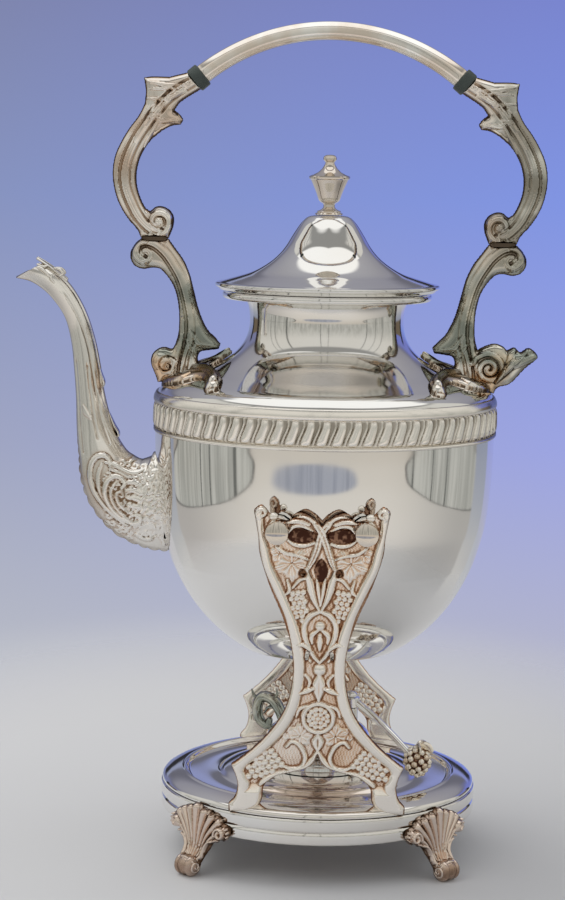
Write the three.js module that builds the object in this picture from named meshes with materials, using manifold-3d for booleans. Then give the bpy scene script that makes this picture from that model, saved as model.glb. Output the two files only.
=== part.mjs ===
// Silver-plated tea kettle that tilts on a two-panel stand, with a spirit burner under it.
// Millimetres, +Z up. The spout points to -X and the front panel faces -Y.
// The origin is under the middle of the whole object, on the surface it stands on.
import * as THREE from 'three';
import { mergeVertices } from 'three/addons/utils/BufferGeometryUtils.js';
import Module from 'manifold-3d';

const wasm = await Module();
wasm.setup();

// Clearances and sheet
const GAP = 0.3;
const RUNNING = 0.35;
const SHEET = 1.2;

// Longer than any piece: how far a cutting tool reaches
const FAR = 400;

// Sides of the round pieces
const LARGE_SIDES = 32;
const MEDIUM_SIDES = 24;
const SMALL_SIDES = 12;

// How high the kettle hangs: over the tray's middle, the burner's font and the flame
const CENTRE_Z = 33.6;
const FONT_HEIGHT = 19.5;
const FLAME_GAP = 30.4;
const BOWL_DROP = 76.5;

// Kettle body
const BODY_RADIUS = 70.2;
const BODY_EQUATOR_Z = CENTRE_Z + FONT_HEIGHT + FLAME_GAP + BOWL_DROP;
const BOWL_DEPTH = BOWL_DROP + 6.9;
const BOWL_FULLNESS = 2.1;
const BOTTOM_Z = BODY_EQUATOR_Z - BOWL_DROP;
const BOWL_STEPS = 9;
const SEAM_Z = BODY_EQUATOR_Z + 21.5;
const SHOULDER_Z = SEAM_Z + 6.5;
const DOME_RADIUS = BODY_RADIUS - 16.9;
const DOME_RISE = 12;
const LID_RADIUS = 46.3;
const MOUTH_RADIUS = LID_RADIUS - 7.1;
const NECK_RADIUS = MOUTH_RADIUS - 7.7;
const NECK_Z = SHOULDER_Z + 32.5;
const MOUTH_Z = NECK_Z + 12.1;

// Gadrooned belt round the seam
const BELT_RADIUS = BODY_RADIUS + 1.5;
const BELT_LOW_Z = SEAM_Z - 6.9;
const BELT_HIGH_Z = SEAM_Z + 6.3;
const BELT_BEAD = 1.6;

// Lid, its bezel and its finial
const LID_EDGE = 3.6;
const LID_TOP_RADIUS = 9.3;
const LID_HEIGHT = 31.2;
const BEZEL_RADIUS = NECK_RADIUS + 0.7;
const BEZEL_DEPTH = 4.5;
const STUD_RADIUS = 1.6;
const FINIAL_HEIGHT = 24.6;
const FINIAL_RADIUS = 8.5;
const FINIAL_FOOT_RADIUS = 5.4;
const NUT_RADIUS = 3.8;
const NUT_HEIGHT = 2.4;

// Ring under the lid
const MOUTH_RING_RADIUS = LID_RADIUS - 3.1;
const MOUTH_RING_HEIGHT = 3.2;

// Lid hinge, behind the kettle
const KNUCKLE_RADIUS = 1.9;
const KNUCKLE_LENGTH = 5;
const HINGE_PIN_RADIUS = 0.8;
const LEAF_THICKNESS = 1.2;
const LEAF_REACH = 6;

// Reach of the spout and of the handle from the kettle's upright axis
const SPOUT_REACH = BODY_RADIUS + 58.8;
const HANDLE_REACH = BODY_RADIUS + 18.8;
const AXIS_X = (SPOUT_REACH - HANDLE_REACH) / 2;

// Spout
const SPOUT_ROOT_Z = BODY_EQUATOR_Z - 15.5;
const SPOUT_TIP_Z = MOUTH_Z + 4.9;
const SPOUT_SIDES = 14;
const SPOUT_STEPS = 22;
const SPOUT_WALL = 1;
const LIP_Z = SPOUT_TIP_Z - 1.8;
const MOUTH_SLOPE = 41.7;
const CREST_WIDTH = 6;
const SPOUT_MOUTH_LENGTH = 11;
const STRAINER_HOLE_RADIUS = 2.2;
const STRAINER_PITCH = 7;

// Handle
const GRIP_ARC_RADIUS = 84.2;
const GRIP_WIDTH = 7.8;
const GRIP_END_ANGLE = THREE.MathUtils.degToRad(38.3);
const GRIP_STEPS = 16;
const GRIP_SIDES = 8;
const INSULATOR_THICKNESS = 4.6;
const INSULATOR_RADIUS = 5.1;
const HANDLE_JOINT_X = BODY_RADIUS + 1.3;
const HANDLE_JOINT_Z = SHOULDER_Z + 65.5;
const GRIP_TOP_Z = HANDLE_JOINT_Z + 89.1;
const ARM_END_WIDTH = 8.6;
const ARM_THICKNESS = 5.6;
const LEG_THICKNESS = 6;
const LEG_FOOT_X = BODY_RADIUS - 8.2;
const SPINE_SIDES = 8;
const FOOT_PAD = [9.5, 8, 4.5];

// Base of the stand
const BASE_RADIUS = 65.9;
const RIM_LOW_Z = 17;
const RIM_HIGH_Z = 27.8;
const RIM_WALL = 2.2;
const TRAY_MOULDING_Z = 32.6;
const WELL_RADIUS = BASE_RADIUS - 10.9;
const WELL_Z = 30.6;
const STEP_RADIUS = WELL_RADIUS - 13.4;
const CENTRE_RADIUS = STEP_RADIUS - 7.6;
const TRAY_SHEET = 1.5;

// Shell feet
const FOOT_SPREAD_RADIUS = BASE_RADIUS + 4.9;
const FOOT_HEIGHT = 28.8;
const FOOT_HALF_WIDTH = 18.6;
const TOE_RADIUS = 3.6;
const TOE_WIDTH = 9;
const TOE_BURIED = 0.6;

// Cast panels and the pins in them
const PIN_X = 17.3;
const PIN_Z = BODY_EQUATOR_Z - 16.2;
const PANEL_TOP_Y = BODY_RADIUS + 3;
const PANEL_FOOT_Y = BASE_RADIUS - 9.7;
const PANEL_FOOT_Z = 28;
const PANEL_CUT_Z = 29.6;
const PANEL_THICKNESS = 3.2;
const PIN_RADIUS = 2.2;
const PIN_HEAD_RADIUS = 4.4;
const PIN_HEAD_HEIGHT = 2.6;
const BOSS_RADIUS = 6;
const BOSS_FACE_Y = BODY_RADIUS + 0.2;
const PIN_TIP_Y = BODY_RADIUS - 2.2;
const SADDLE_FLARE = 1.1;

// Spirit burner in its seat
const FONT_BASE_RADIUS = 20;
const FONT_RADIUS = 22;
const FONT_MOUTH_RADIUS = 8.6;
const FONT_WALL = 1;
const BURNER_HANDLE_ANGLE = THREE.MathUtils.degToRad(151);
const SEAT_RING_WALL = 2.2;
const SEAT_RING_HEIGHT = 4;
const COLLAR_RADIUS = 10.5;
const COLLAR_HEIGHT = 3.6;
const WICK_TUBE_RADIUS = 4.5;
const WICK_TUBE_HEIGHT = 8;
const WICK_RADIUS = 2.6;
const WICK_SHOWS = 1.2;
const WICK_LENGTH = 26;

// Snuffer, on a post beside the wick
const LEVER_ANGLE = THREE.MathUtils.degToRad(-29);
const POST_REACH = 15;
const POST_RADIUS = 3.2;
const POST_PIN_RADIUS = 1.6;
const POST_HEAD_RADIUS = 2.8;
const POST_SHOULDER_RISE = 6.6;
const LEVER_EYE_RADIUS = 3.9;
const LEVER_EYE_HEIGHT = 4;
const LEVER_RADIUS = 1.5;
const CAP_RADIUS = 6.4;
const CAP_HEIGHT = 4;
const CAP_LIFT = 0.6;
const KNOB_REACH = 47;
const KNOB_Z = 41.4;
const KNOB_RADIUS = 6.4;
const KNOB_HEIGHT = 14;

// Finishes
const SILVER = { color: 0xc9c7c2, roughness: 0.12, metalness: 1 };
const CAST_SILVER = { color: 0xb7ab98, roughness: 0.3, metalness: 1 };
const INSULATOR_FIBRE = { color: 0x3a4440, roughness: 0.7, metalness: 0 };
const WICK_COTTON = { color: 0xd8d0bc, roughness: 0.95, metalness: 0 };

// Any closed geometry as a solid that can be joined and cut
function solidOf(geometry) {
  const bare = geometry.clone();
  bare.deleteAttribute('normal');
  bare.deleteAttribute('uv');
  const merged = mergeVertices(bare, 1e-4);
  const index = Array.from(merged.index.array);
  const corners = [];
  for (let i = 0; i < index.length; i += 3) {
    const [a, b, c] = index.slice(i, i + 3);
    if (a !== b && b !== c && c !== a) corners.push(a, b, c);
  }
  const places = merged.attributes.position.array;
  if (signedVolume(places, corners) < 0) corners.reverse();
  return new wasm.Manifold(new wasm.Mesh({
    numProp: 3,
    vertProperties: new Float32Array(places),
    triVerts: new Uint32Array(corners),
  }));
}

function signedVolume(places, corners) {
  let sum = 0;
  for (let i = 0; i < corners.length; i += 3) {
    const [a, b, c] = [0, 1, 2].map((k) => new THREE.Vector3().fromArray(places, 3 * corners[i + k]));
    sum += a.dot(b.cross(c)) / 6;
  }
  return sum;
}

// One named piece of the kettle or the stand
function piece(name, solid, finish) {
  const { vertProperties, triVerts } = solid.getMesh();
  const geometry = new THREE.BufferGeometry();
  geometry.setAttribute('position', new THREE.BufferAttribute(vertProperties, 3));
  geometry.setIndex(new THREE.BufferAttribute(triVerts, 1));
  geometry.computeVertexNormals();
  const mesh = new THREE.Mesh(geometry, new THREE.MeshStandardMaterial(finish));
  mesh.name = name;
  return mesh;
}

// Spins a closed outline of [radius, height] points about the upright axis
function turned(outline, sides = LARGE_SIDES) {
  const points = outline.map(([radius, height]) => new THREE.Vector2(Math.max(radius, 0), height));
  return solidOf(new THREE.LatheGeometry(points, sides).rotateX(Math.PI / 2));
}

function ring(outline, sides) {
  return turned([...outline, outline[0]], sides);
}

// Moves each point of a line sideways, to the left of its direction when distance is positive
function offsetLine(line, distance) {
  return line.map((point, i) => {
    const [ax, ay] = line[Math.max(i - 1, 0)];
    const [bx, by] = line[Math.min(i + 1, line.length - 1)];
    const length = Math.hypot(bx - ax, by - ay);
    const onAxis = point[0] === 0;
    const sideways = onAxis ? 0 : (-(by - ay) / length) * distance;
    const along = onAxis ? distance * Math.sign(bx - ax) : ((bx - ax) / length) * distance;
    return [point[0] + sideways, point[1] + along];
  });
}

// Plate with an outline in the XZ plane, its thickness centred on y = 0
function plate(shape, thickness, curveSegments = 1) {
  const geometry = new THREE.ExtrudeGeometry(shape, { depth: thickness, bevelEnabled: false, curveSegments });
  geometry.translate(0, 0, -thickness / 2).rotateX(Math.PI / 2);
  return solidOf(geometry);
}

// Each run is a smooth curve that starts where the one before it ends; a run of one point is a straight edge
function smoothShape(runs) {
  const shape = new THREE.Shape();
  shape.moveTo(...runs[0][0]);
  for (const run of runs) {
    const rest = run === runs[0] ? run.slice(1) : run;
    if (rest.length === 1) shape.lineTo(...rest[0]);
    else shape.splineThru(rest.map(([x, y]) => new THREE.Vector2(x, y)));
  }
  return shape;
}

function ovalPath(x, y, halfX, halfY, sides) {
  const points = [];
  for (let i = 0; i < sides; i++) {
    const angle = (2 * Math.PI * i) / sides;
    points.push(new THREE.Vector2(x + halfX * Math.cos(angle), y + halfY * Math.sin(angle)));
  }
  return new THREE.Path(points);
}

function ball(halfX, halfY, halfZ) {
  return solidOf(new THREE.SphereGeometry(1, SMALL_SIDES, 8).scale(halfX, halfZ, halfY).rotateX(Math.PI / 2));
}

// Rod along Y, X or Z between two heights on that axis
function rodAlongY(radius, fromY, toY, sides = SMALL_SIDES) {
  const length = Math.abs(toY - fromY);
  const middle = (fromY + toY) / 2;
  return solidOf(new THREE.CylinderGeometry(radius, radius, length, sides).translate(0, middle, 0));
}

function rodAlongX(radius, fromX, toX, sides = SMALL_SIDES) {
  return rodAlongY(radius, fromX, toX, sides).rotate([0, 0, -90]);
}

function rodAlongZ(radius, fromZ, toZ, sides = SMALL_SIDES) {
  return rodAlongY(radius, fromZ, toZ, sides).rotate([90, 0, 0]);
}

function box(fromX, toX, fromY, toY, fromZ, toZ) {
  const size = [toX - fromX, toY - fromY, toZ - fromZ];
  const middle = [(fromX + toX) / 2, (fromY + toY) / 2, (fromZ + toZ) / 2];
  return solidOf(new THREE.BoxGeometry(...size).translate(...middle));
}

// Tube along a curve in the XZ plane, with an oval section that changes along it.
// Rows hold [x, z, half width in the plane, half width across it].
function ovalSweep(rows, sides, steps) {
  const places3 = rows.map(([x, z]) => new THREE.Vector3(x, 0, z));
  const middle = new THREE.CatmullRomCurve3(places3, false, 'centripetal');
  const widths = new THREE.CatmullRomCurve3(rows.map((row) => new THREE.Vector3(row[2], row[3], 0)));
  const geometry = new THREE.CylinderGeometry(1, 1, 1, sides, steps);
  const places = geometry.attributes.position;
  for (let i = 0; i < places.count; i++) {
    const along = Math.min(Math.max(places.getY(i) + 0.5, 0), 1);
    const centre = middle.getPoint(along);
    const direction = middle.getTangent(along);
    const width = widths.getPoint(along);
    const inPlane = places.getX(i) * width.x;
    const across = places.getZ(i) * width.y;
    places.setXYZ(i, centre.x - direction.z * inPlane, across, centre.z + direction.x * inPlane);
  }
  return solidOf(geometry);
}

// Kettle body

function bowlLine() {
  const flat = Math.acos((1 - ((BODY_EQUATOR_Z - BOTTOM_Z) / BOWL_DEPTH) ** BOWL_FULLNESS) ** 0.5);
  const line = [[0, BOTTOM_Z]];
  for (let i = 0; i <= BOWL_STEPS; i++) {
    const angle = flat * (1 - i / BOWL_STEPS);
    const radius = BODY_RADIUS * Math.cos(angle) ** (2 / BOWL_FULLNESS);
    line.push([radius, BODY_EQUATOR_Z - BOWL_DEPTH * Math.sin(angle) ** (2 / BOWL_FULLNESS)]);
  }
  return [...line, [BODY_RADIUS, SEAM_Z]];
}

function shoulderLine() {
  const domeZ = SHOULDER_Z + DOME_RISE;
  const outer = BODY_RADIUS - 0.4;
  const flare = MOUTH_RADIUS - NECK_RADIUS;
  const dome = new THREE.SplineCurve([
    new THREE.Vector2(outer, SHOULDER_Z),
    new THREE.Vector2(outer - 2.6, SHOULDER_Z + 0.4 * DOME_RISE),
    new THREE.Vector2(outer - 8, SHOULDER_Z + 0.76 * DOME_RISE),
    new THREE.Vector2(DOME_RADIUS, domeZ),
  ]);
  const neck = new THREE.CubicBezierCurve(
    new THREE.Vector2(DOME_RADIUS, domeZ),
    new THREE.Vector2(DOME_RADIUS - 12.5, domeZ + 2.6),
    new THREE.Vector2(NECK_RADIUS, domeZ + 6.5),
    new THREE.Vector2(NECK_RADIUS, NECK_Z),
  );
  const mouth = new THREE.QuadraticBezierCurve(
    new THREE.Vector2(NECK_RADIUS, NECK_Z),
    new THREE.Vector2(NECK_RADIUS + 0.1 * flare, MOUTH_Z - 4.6),
    new THREE.Vector2(MOUTH_RADIUS, MOUTH_Z),
  );
  const points = [...dome.getPoints(4), ...neck.getPoints(5).slice(1), ...mouth.getPoints(3).slice(1)];
  return [[BODY_RADIUS, SEAM_Z + GAP], ...points.map((point) => [point.x, point.y])];
}

// Everything inside a line, from the axis outwards, grown by a clearance: used to cut what sits on it
function fullBody(line, clearance, sides) {
  const grown = offsetLine(line, -clearance);
  const low = grown[0][1];
  const high = grown[grown.length - 1][1];
  return turned([[0, low], ...grown.filter(([radius]) => radius > 0), [0, high]], sides);
}

// Wall of even thickness inside a line, with its open edges cut level
function shellOf(line, wall, sides) {
  const heights = line.map(([, height]) => height);
  const low = Math.min(...heights);
  const high = Math.max(...heights);
  const inside = offsetLine(line, wall)
    .map(([radius, height]) => [radius, Math.min(Math.max(height, low), high)]).reverse();
  if (line[0][0] === 0) return turned([...line, ...inside], sides);
  if (inside[0][0] === 0) return turned([...inside, ...line], sides);
  return ring([...line, ...inside], sides);
}

const bowlCutter = fullBody(bowlLine(), GAP);
const shoulderCutter = fullBody(shoulderLine(), GAP);

function strainerHoles() {
  const spots = [[0, 0]];
  for (let i = 0; i < 6; i++) {
    spots.push([STRAINER_PITCH * Math.cos((i * Math.PI) / 3), STRAINER_PITCH * Math.sin((i * Math.PI) / 3)]);
  }
  return spots.map(([y, z]) => rodAlongX(STRAINER_HOLE_RADIUS, -BODY_RADIUS - 5, -BODY_RADIUS / 2, 8)
    .translate([0, y, SPOUT_ROOT_Z + z]));
}

function kettleBowl() {
  return strainerHoles().reduce((bowl, hole) => bowl.subtract(hole), shellOf(bowlLine(), SHEET));
}

function kettleShoulder() {
  return shellOf(shoulderLine(), SHEET);
}

function gadroonBelt() {
  const inner = BODY_RADIUS + GAP;
  const fieldRadius = BELT_RADIUS - 0.4;
  return ring([
    [inner, BELT_LOW_Z], [BELT_RADIUS - 0.6, BELT_LOW_Z], [BELT_RADIUS, BELT_LOW_Z + BELT_BEAD / 2],
    [fieldRadius, BELT_LOW_Z + BELT_BEAD], [BELT_RADIUS, (BELT_LOW_Z + BELT_HIGH_Z) / 2],
    [fieldRadius, BELT_HIGH_Z - BELT_BEAD], [BELT_RADIUS, BELT_HIGH_Z - BELT_BEAD / 2],
    [BELT_RADIUS - 0.6, BELT_HIGH_Z], [inner, BELT_HIGH_Z],
  ]);
}

function mouthRing() {
  const low = MOUTH_Z - MOUTH_RING_HEIGHT;
  const whole = ring([
    [NECK_RADIUS, low], [MOUTH_RING_RADIUS - 2.4, low], [MOUTH_RING_RADIUS - 0.6, low + 1],
    [MOUTH_RING_RADIUS, low + 2], [MOUTH_RING_RADIUS - 0.4, MOUTH_Z], [NECK_RADIUS, MOUTH_Z],
  ]);
  const neckTop = shoulderLine().filter(([, height]) => height >= NECK_Z);
  return whole.subtract(fullBody([...neckTop, [MOUTH_RADIUS, MOUTH_Z + 2]], GAP));
}

// Lid

const LID_SEAT_Z = MOUTH_Z + GAP;
const LID_TOP_Z = LID_SEAT_Z + LID_HEIGHT;
const HINGE_Y = LID_RADIUS + KNUCKLE_RADIUS + GAP;
const HINGE_Z = LID_SEAT_Z + LID_EDGE / 2;

function lidLine() {
  const rise = LID_TOP_Z - LID_SEAT_Z - LID_EDGE;
  const run = LID_RADIUS - 1 - LID_TOP_RADIUS;
  const bell = new THREE.CubicBezierCurve(
    new THREE.Vector2(LID_RADIUS - 1, LID_SEAT_Z + LID_EDGE),
    new THREE.Vector2(LID_RADIUS - 1 - 0.62 * run, LID_SEAT_Z + LID_EDGE + 0.16 * rise),
    new THREE.Vector2(LID_TOP_RADIUS + 0.22 * run, LID_TOP_Z - 0.3 * rise),
    new THREE.Vector2(LID_TOP_RADIUS, LID_TOP_Z - 1),
  );
  const sides = bell.getPoints(7).map((point) => [point.x, point.y]);
  return [...sides, [FINIAL_FOOT_RADIUS, LID_TOP_Z], [0, LID_TOP_Z]];
}

function lidSolid() {
  const outside = lidLine();
  const inside = offsetLine(outside, SHEET).reverse();
  const underside = [[inside[inside.length - 1][0], LID_SEAT_Z], [LID_RADIUS - 1, LID_SEAT_Z]];
  const edge = [[LID_RADIUS, LID_SEAT_Z + 1], [LID_RADIUS, LID_SEAT_Z + LID_EDGE - 1]];
  const skin = turned([...inside, ...underside, ...edge, ...outside]);
  const flange = ring([
    [BEZEL_RADIUS, LID_SEAT_Z - BEZEL_DEPTH], [BEZEL_RADIUS, LID_SEAT_Z],
    [LID_RADIUS - 1, LID_SEAT_Z], [LID_RADIUS - 1, LID_SEAT_Z + SHEET],
    [BEZEL_RADIUS - SHEET, LID_SEAT_Z + SHEET], [BEZEL_RADIUS - SHEET, LID_SEAT_Z - BEZEL_DEPTH],
  ]);
  const studHole = rodAlongZ(STUD_RADIUS + RUNNING, LID_TOP_Z - 3 * SHEET, LID_TOP_Z + 1, SMALL_SIDES);
  return skin.add(flange).subtract(studHole);
}

function finialSolid() {
  const foot = LID_TOP_Z + GAP;
  const at = (share) => foot + FINIAL_HEIGHT * share;
  return turned([
    [0, LID_TOP_Z - SHEET - NUT_HEIGHT - 1], [STUD_RADIUS, LID_TOP_Z - SHEET - NUT_HEIGHT - 1],
    [STUD_RADIUS, foot], [FINIAL_FOOT_RADIUS, foot],
    [FINIAL_FOOT_RADIUS, at(0.05)], [0.58 * FINIAL_FOOT_RADIUS, at(0.12)],
    [0.58 * FINIAL_FOOT_RADIUS, at(0.22)],
    [0.62 * FINIAL_RADIUS, at(0.3)], [0.86 * FINIAL_RADIUS, at(0.46)], [FINIAL_RADIUS, at(0.6)],
    [0.92 * FINIAL_RADIUS, at(0.65)], [0.45 * FINIAL_RADIUS, at(0.75)], [0.24 * FINIAL_RADIUS, at(0.84)],
    [0.34 * FINIAL_RADIUS, at(0.9)], [0.34 * FINIAL_RADIUS, at(0.98)], [0, at(1)],
  ], 16);
}

function finialNut() {
  const top = LID_TOP_Z - SHEET - GAP;
  return rodAlongZ(NUT_RADIUS, top - NUT_HEIGHT, top, 6)
    .subtract(rodAlongZ(STUD_RADIUS + RUNNING, top - NUT_HEIGHT - 1, top + 1));
}

function knuckle(fromX, toX) {
  const barrel = rodAlongX(KNUCKLE_RADIUS, fromX, toX);
  const bore = rodAlongX(HINGE_PIN_RADIUS + RUNNING, fromX - 1, toX + 1, 8);
  return { barrel: barrel.translate([0, HINGE_Y, HINGE_Z]), bore: bore.translate([0, HINGE_Y, HINGE_Z]) };
}

// Hinge half on the kettle: two knuckles joined by a leaf that is brazed to the ring under the lid
function hingeBracket() {
  const near = KNUCKLE_LENGTH / 2 + GAP;
  const far = near + KNUCKLE_LENGTH;
  const top = LID_SEAT_Z - GAP;
  const low = top - LEAF_THICKNESS - 1;
  const sides = [knuckle(-far, -near), knuckle(near, far)];
  const leaf = box(-far, far, MOUTH_RING_RADIUS + GAP, HINGE_Y, low, low + LEAF_THICKNESS);
  const ears = [-1, 1].map((side) => box(
    Math.min(side * near, side * far), Math.max(side * near, side * far),
    HINGE_Y - KNUCKLE_RADIUS + 0.2, HINGE_Y, low, HINGE_Z,
  ));
  const whole = leaf.add(ears[0]).add(ears[1]).add(sides[0].barrel).add(sides[1].barrel);
  return whole.subtract(sides[0].bore).subtract(sides[1].bore);
}

// Hinge half on the lid: the middle knuckle with a leaf lying against the lid's edge
function hingeTongue() {
  const half = KNUCKLE_LENGTH / 2;
  const { barrel, bore } = knuckle(-half, half);
  const top = HINGE_Z + KNUCKLE_RADIUS;
  const leaf = box(-half, half, HINGE_Y - LEAF_REACH, HINGE_Y, top - LEAF_THICKNESS, top + LEAF_THICKNESS);
  const edge = [[LID_RADIUS, LID_SEAT_Z - 2], [LID_RADIUS, LID_SEAT_Z + LID_EDGE - 1]];
  const lidCutter = fullBody([...edge, ...lidLine()], GAP);
  return leaf.add(barrel).subtract(bore).subtract(lidCutter);
}

function lidHingePin() {
  const reach = 1.5 * KNUCKLE_LENGTH + GAP + 0.5;
  return rodAlongX(HINGE_PIN_RADIUS, -reach, reach, 8).translate([0, HINGE_Y, HINGE_Z]);
}

// Spout: rows run from inside the body wall to the lip
function spoutRows(thinner) {
  const reach = SPOUT_REACH - BODY_RADIUS;
  const rise = SPOUT_TIP_Z - SPOUT_ROOT_Z;
  const row = (out, up, inPlane, across) => (
    [-(BODY_RADIUS + out * reach), SPOUT_ROOT_Z + up * rise, inPlane - thinner, across - thinner]
  );
  const start = thinner > 0 ? -0.2 : -0.17;
  const end = thinner > 0 ? 0.03 : 0;
  return [
    row(start, 0, 21, 14), row(0, 0.005, 20.6, 13.8), row(0.133, 0.0226, 18.4, 13),
    row(0.252, 0.07, 15, 11.8), row(0.337, 0.143, 11.9, 10.2), row(0.386, 0.22, 9.4, 8.8),
    row(0.425, 0.309, 7.9, 7.6),
    row(0.4626, 0.462, 6.1, 6.3), row(0.486, 0.591, 5.6, 5.8), row(0.52, 0.72, 5, 5.3),
    row(0.58, 0.837, 4.6, 5), row(0.68, 0.932, 4.8, 5.2), row(0.796, 0.985, 4.9, 5.6),
    row(0.975 + end, 1.03 + end, 5, 5.6),
  ];
}

function spoutCrest() {
  const fromLip = (dx, dz) => new THREE.Vector2(-SPOUT_REACH + dx, LIP_Z + dz);
  return plate(new THREE.Shape([
    fromLip(21, 0.3), fromLip(19.2, 3.7), fromLip(16.6, 3.7), fromLip(15, 5.1), fromLip(9.4, 9.1),
    fromLip(8.4, 7.9), fromLip(12.5, 3.8), fromLip(19, -0.7),
  ]), CREST_WIDTH);
}

function spoutSolid() {
  const tube = ovalSweep(spoutRows(0), SPOUT_SIDES, SPOUT_STEPS);
  const bore = ovalSweep(spoutRows(SPOUT_WALL), SPOUT_SIDES - 4, SPOUT_STEPS - 2);
  const wide = 2 * CREST_WIDTH;
  const beyondMouth = box(-wide, SPOUT_MOUTH_LENGTH, -wide, wide, 0, 2 * wide)
    .rotate([0, -MOUTH_SLOPE, 0]).translate([-SPOUT_REACH, 0, LIP_Z]);
  return tube.add(spoutCrest()).subtract(bore).subtract(beyondMouth).subtract(bowlCutter);
}

// Handle: the right-hand half is drawn, and the left-hand half is its mirror image

const GRIP_CENTRE_Z = GRIP_TOP_Z - GRIP_WIDTH / 2 - GRIP_ARC_RADIUS;
const INSULATOR_ANGLE = GRIP_END_ANGLE + (GAP + INSULATOR_THICKNESS / 2) / GRIP_ARC_RADIUS;
const ARM_END_ANGLE = GRIP_END_ANGLE + (2 * GAP + INSULATOR_THICKNESS) / GRIP_ARC_RADIUS;

class GripArc extends THREE.Curve {
  getPoint(share, target = new THREE.Vector3()) {
    return target.set(...gripPlace(0, (2 * share - 1) * GRIP_END_ANGLE));
  }
}

function gripPlace(outward, angle) {
  const radius = GRIP_ARC_RADIUS + outward;
  return [radius * Math.sin(angle), 0, GRIP_CENTRE_Z + radius * Math.cos(angle)];
}

function handleGrip() {
  const cornerRadius = GRIP_WIDTH / 2 / Math.cos(Math.PI / GRIP_SIDES);
  const corners = [];
  for (let i = 0; i < GRIP_SIDES; i++) {
    const angle = ((2 * i + 1) * Math.PI) / GRIP_SIDES;
    corners.push(new THREE.Vector2(cornerRadius * Math.cos(angle), cornerRadius * Math.sin(angle)));
  }
  return solidOf(new THREE.ExtrudeGeometry(new THREE.Shape(corners), {
    steps: GRIP_STEPS,
    bevelEnabled: false,
    extrudePath: new GripArc(),
  }));
}

function handleInsulator() {
  const half = INSULATOR_THICKNESS / 2;
  const [x, , z] = gripPlace(0, INSULATOR_ANGLE);
  return rodAlongX(INSULATOR_RADIUS, -half, half, 16)
    .rotate([0, THREE.MathUtils.radToDeg(INSULATOR_ANGLE), 0]).translate([x, 0, z]);
}

// The castings are drawn for this joint height above the shoulder
const DRAWN_JOINT_RISE = 53.5;
const HANDLE_SCALE = (HANDLE_JOINT_Z - SHOULDER_Z - DOME_RISE) / DRAWN_JOINT_RISE;

// Places named from the arm's upper end, from the handle's widest reach, from the joint of arm and leg,
// and from the leg's footing on the shoulder
const fromArmEnd = (dx, dz) => {
  const [x, , z] = gripPlace(0, ARM_END_ANGLE);
  return [x + dx * HANDLE_SCALE, z + dz * HANDLE_SCALE];
};
const fromReach = (dx, dz) => [HANDLE_REACH - dx * HANDLE_SCALE, HANDLE_JOINT_Z + dz * HANDLE_SCALE];
const fromJoint = (dx, dz) => [HANDLE_JOINT_X + dx * HANDLE_SCALE, HANDLE_JOINT_Z + dz * HANDLE_SCALE];
const fromFooting = (dx, dz) => [LEG_FOOT_X + dx * HANDLE_SCALE, SHOULDER_Z + DOME_RISE + dz * HANDLE_SCALE];

function armEndCorner(side) {
  const [x, , z] = gripPlace((side * ARM_END_WIDTH) / 2, ARM_END_ANGLE);
  return [x, z];
}

function armShape() {
  const end = fromArmEnd;
  const reach = fromReach;
  const joint = fromJoint;
  return smoothShape([
    [armEndCorner(1), end(10.1, 1.8)],
    [end(17.5, 1.8), end(20.4, 1.4)],
    [end(19.6, -4), end(20, -9.2)],
    [
      reach(10.4, 49.7), reach(6.6, 44.5), reach(3.4, 39.1), reach(1, 33.5), reach(0, 27.5), reach(0.4, 21.5),
      reach(2.4, 14.5), joint(11.3, 8), joint(6.9, 2.8), joint(5.7, 0),
    ],
    [joint(-5.8, 0)],
    [joint(-7.7, 5.3), joint(-7.5, 9.5), joint(-4.6, 12.5), joint(-0.7, 12.9), joint(2, 10.9)],
    [
      joint(4, 12.4), reach(10.8, 18.1), reach(9.7, 24), reach(10.3, 29.7), reach(12.2, 34.9),
      reach(15.5, 39.7), end(12.8, -20),
    ],
    [end(8.6, -17.9), end(5.2, -17.4)],
    [end(4.1, -15.4)],
    [end(5.6, -13.2), end(7.8, -11.6)],
    [end(5.4, -8.4), armEndCorner(-1)],
    [armEndCorner(1)],
  ]);
}

function armSpine() {
  const row = ([x, z], inPlane, across) => [x, z, inPlane, across];
  return ovalSweep([
    row(fromArmEnd(-2.2, 2), 4.1, 4.1), row(fromArmEnd(0, 0), 4.1, 4.1), row(fromArmEnd(9.5, -6), 4.6, 4.2),
    row(fromReach(14.5, 47.5), 4.6, 4.1), row(fromReach(8.2, 37.6), 4.2, 4),
    row(fromReach(5.2, 29), 3.8, 3.8), row(fromReach(5.2, 21.5), 3.6, 3.7),
    row(fromReach(7.6, 14.5), 3.4, 3.6), row(fromJoint(6.3, 8), 3.2, 3.5), row(fromJoint(1.6, 3.6),
    3.4, 3.6), row(fromJoint(-1.5, -1), 3.6, 3.7),
  ], SPINE_SIDES, 16);
}

function handleArm() {
  const beyondEnd = box(-14, 0, -8, 8, -12, 12)
    .rotate([0, THREE.MathUtils.radToDeg(ARM_END_ANGLE), 0]).translate(gripPlace(0, ARM_END_ANGLE));
  const belowJoint = box(HANDLE_JOINT_X - 12, HANDLE_JOINT_X + 8, -8, 8, HANDLE_JOINT_Z - 12, HANDLE_JOINT_Z);
  return plate(armShape(), ARM_THICKNESS).add(armSpine()).subtract(beyondEnd).subtract(belowJoint);
}

// The left leg ends in a ball curl, the right one in a spiral with a small three-lobed shell
const ballCurl = () => [
  fromFooting(1.8, 8), fromFooting(4.6, 8.6), fromFooting(7.2, 8.1), fromFooting(9.8, 5.7),
  fromFooting(10.4, 2.6), fromFooting(9.3, -1.3), fromFooting(7.2, -3.8), fromFooting(6.5, -6),
];

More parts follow.
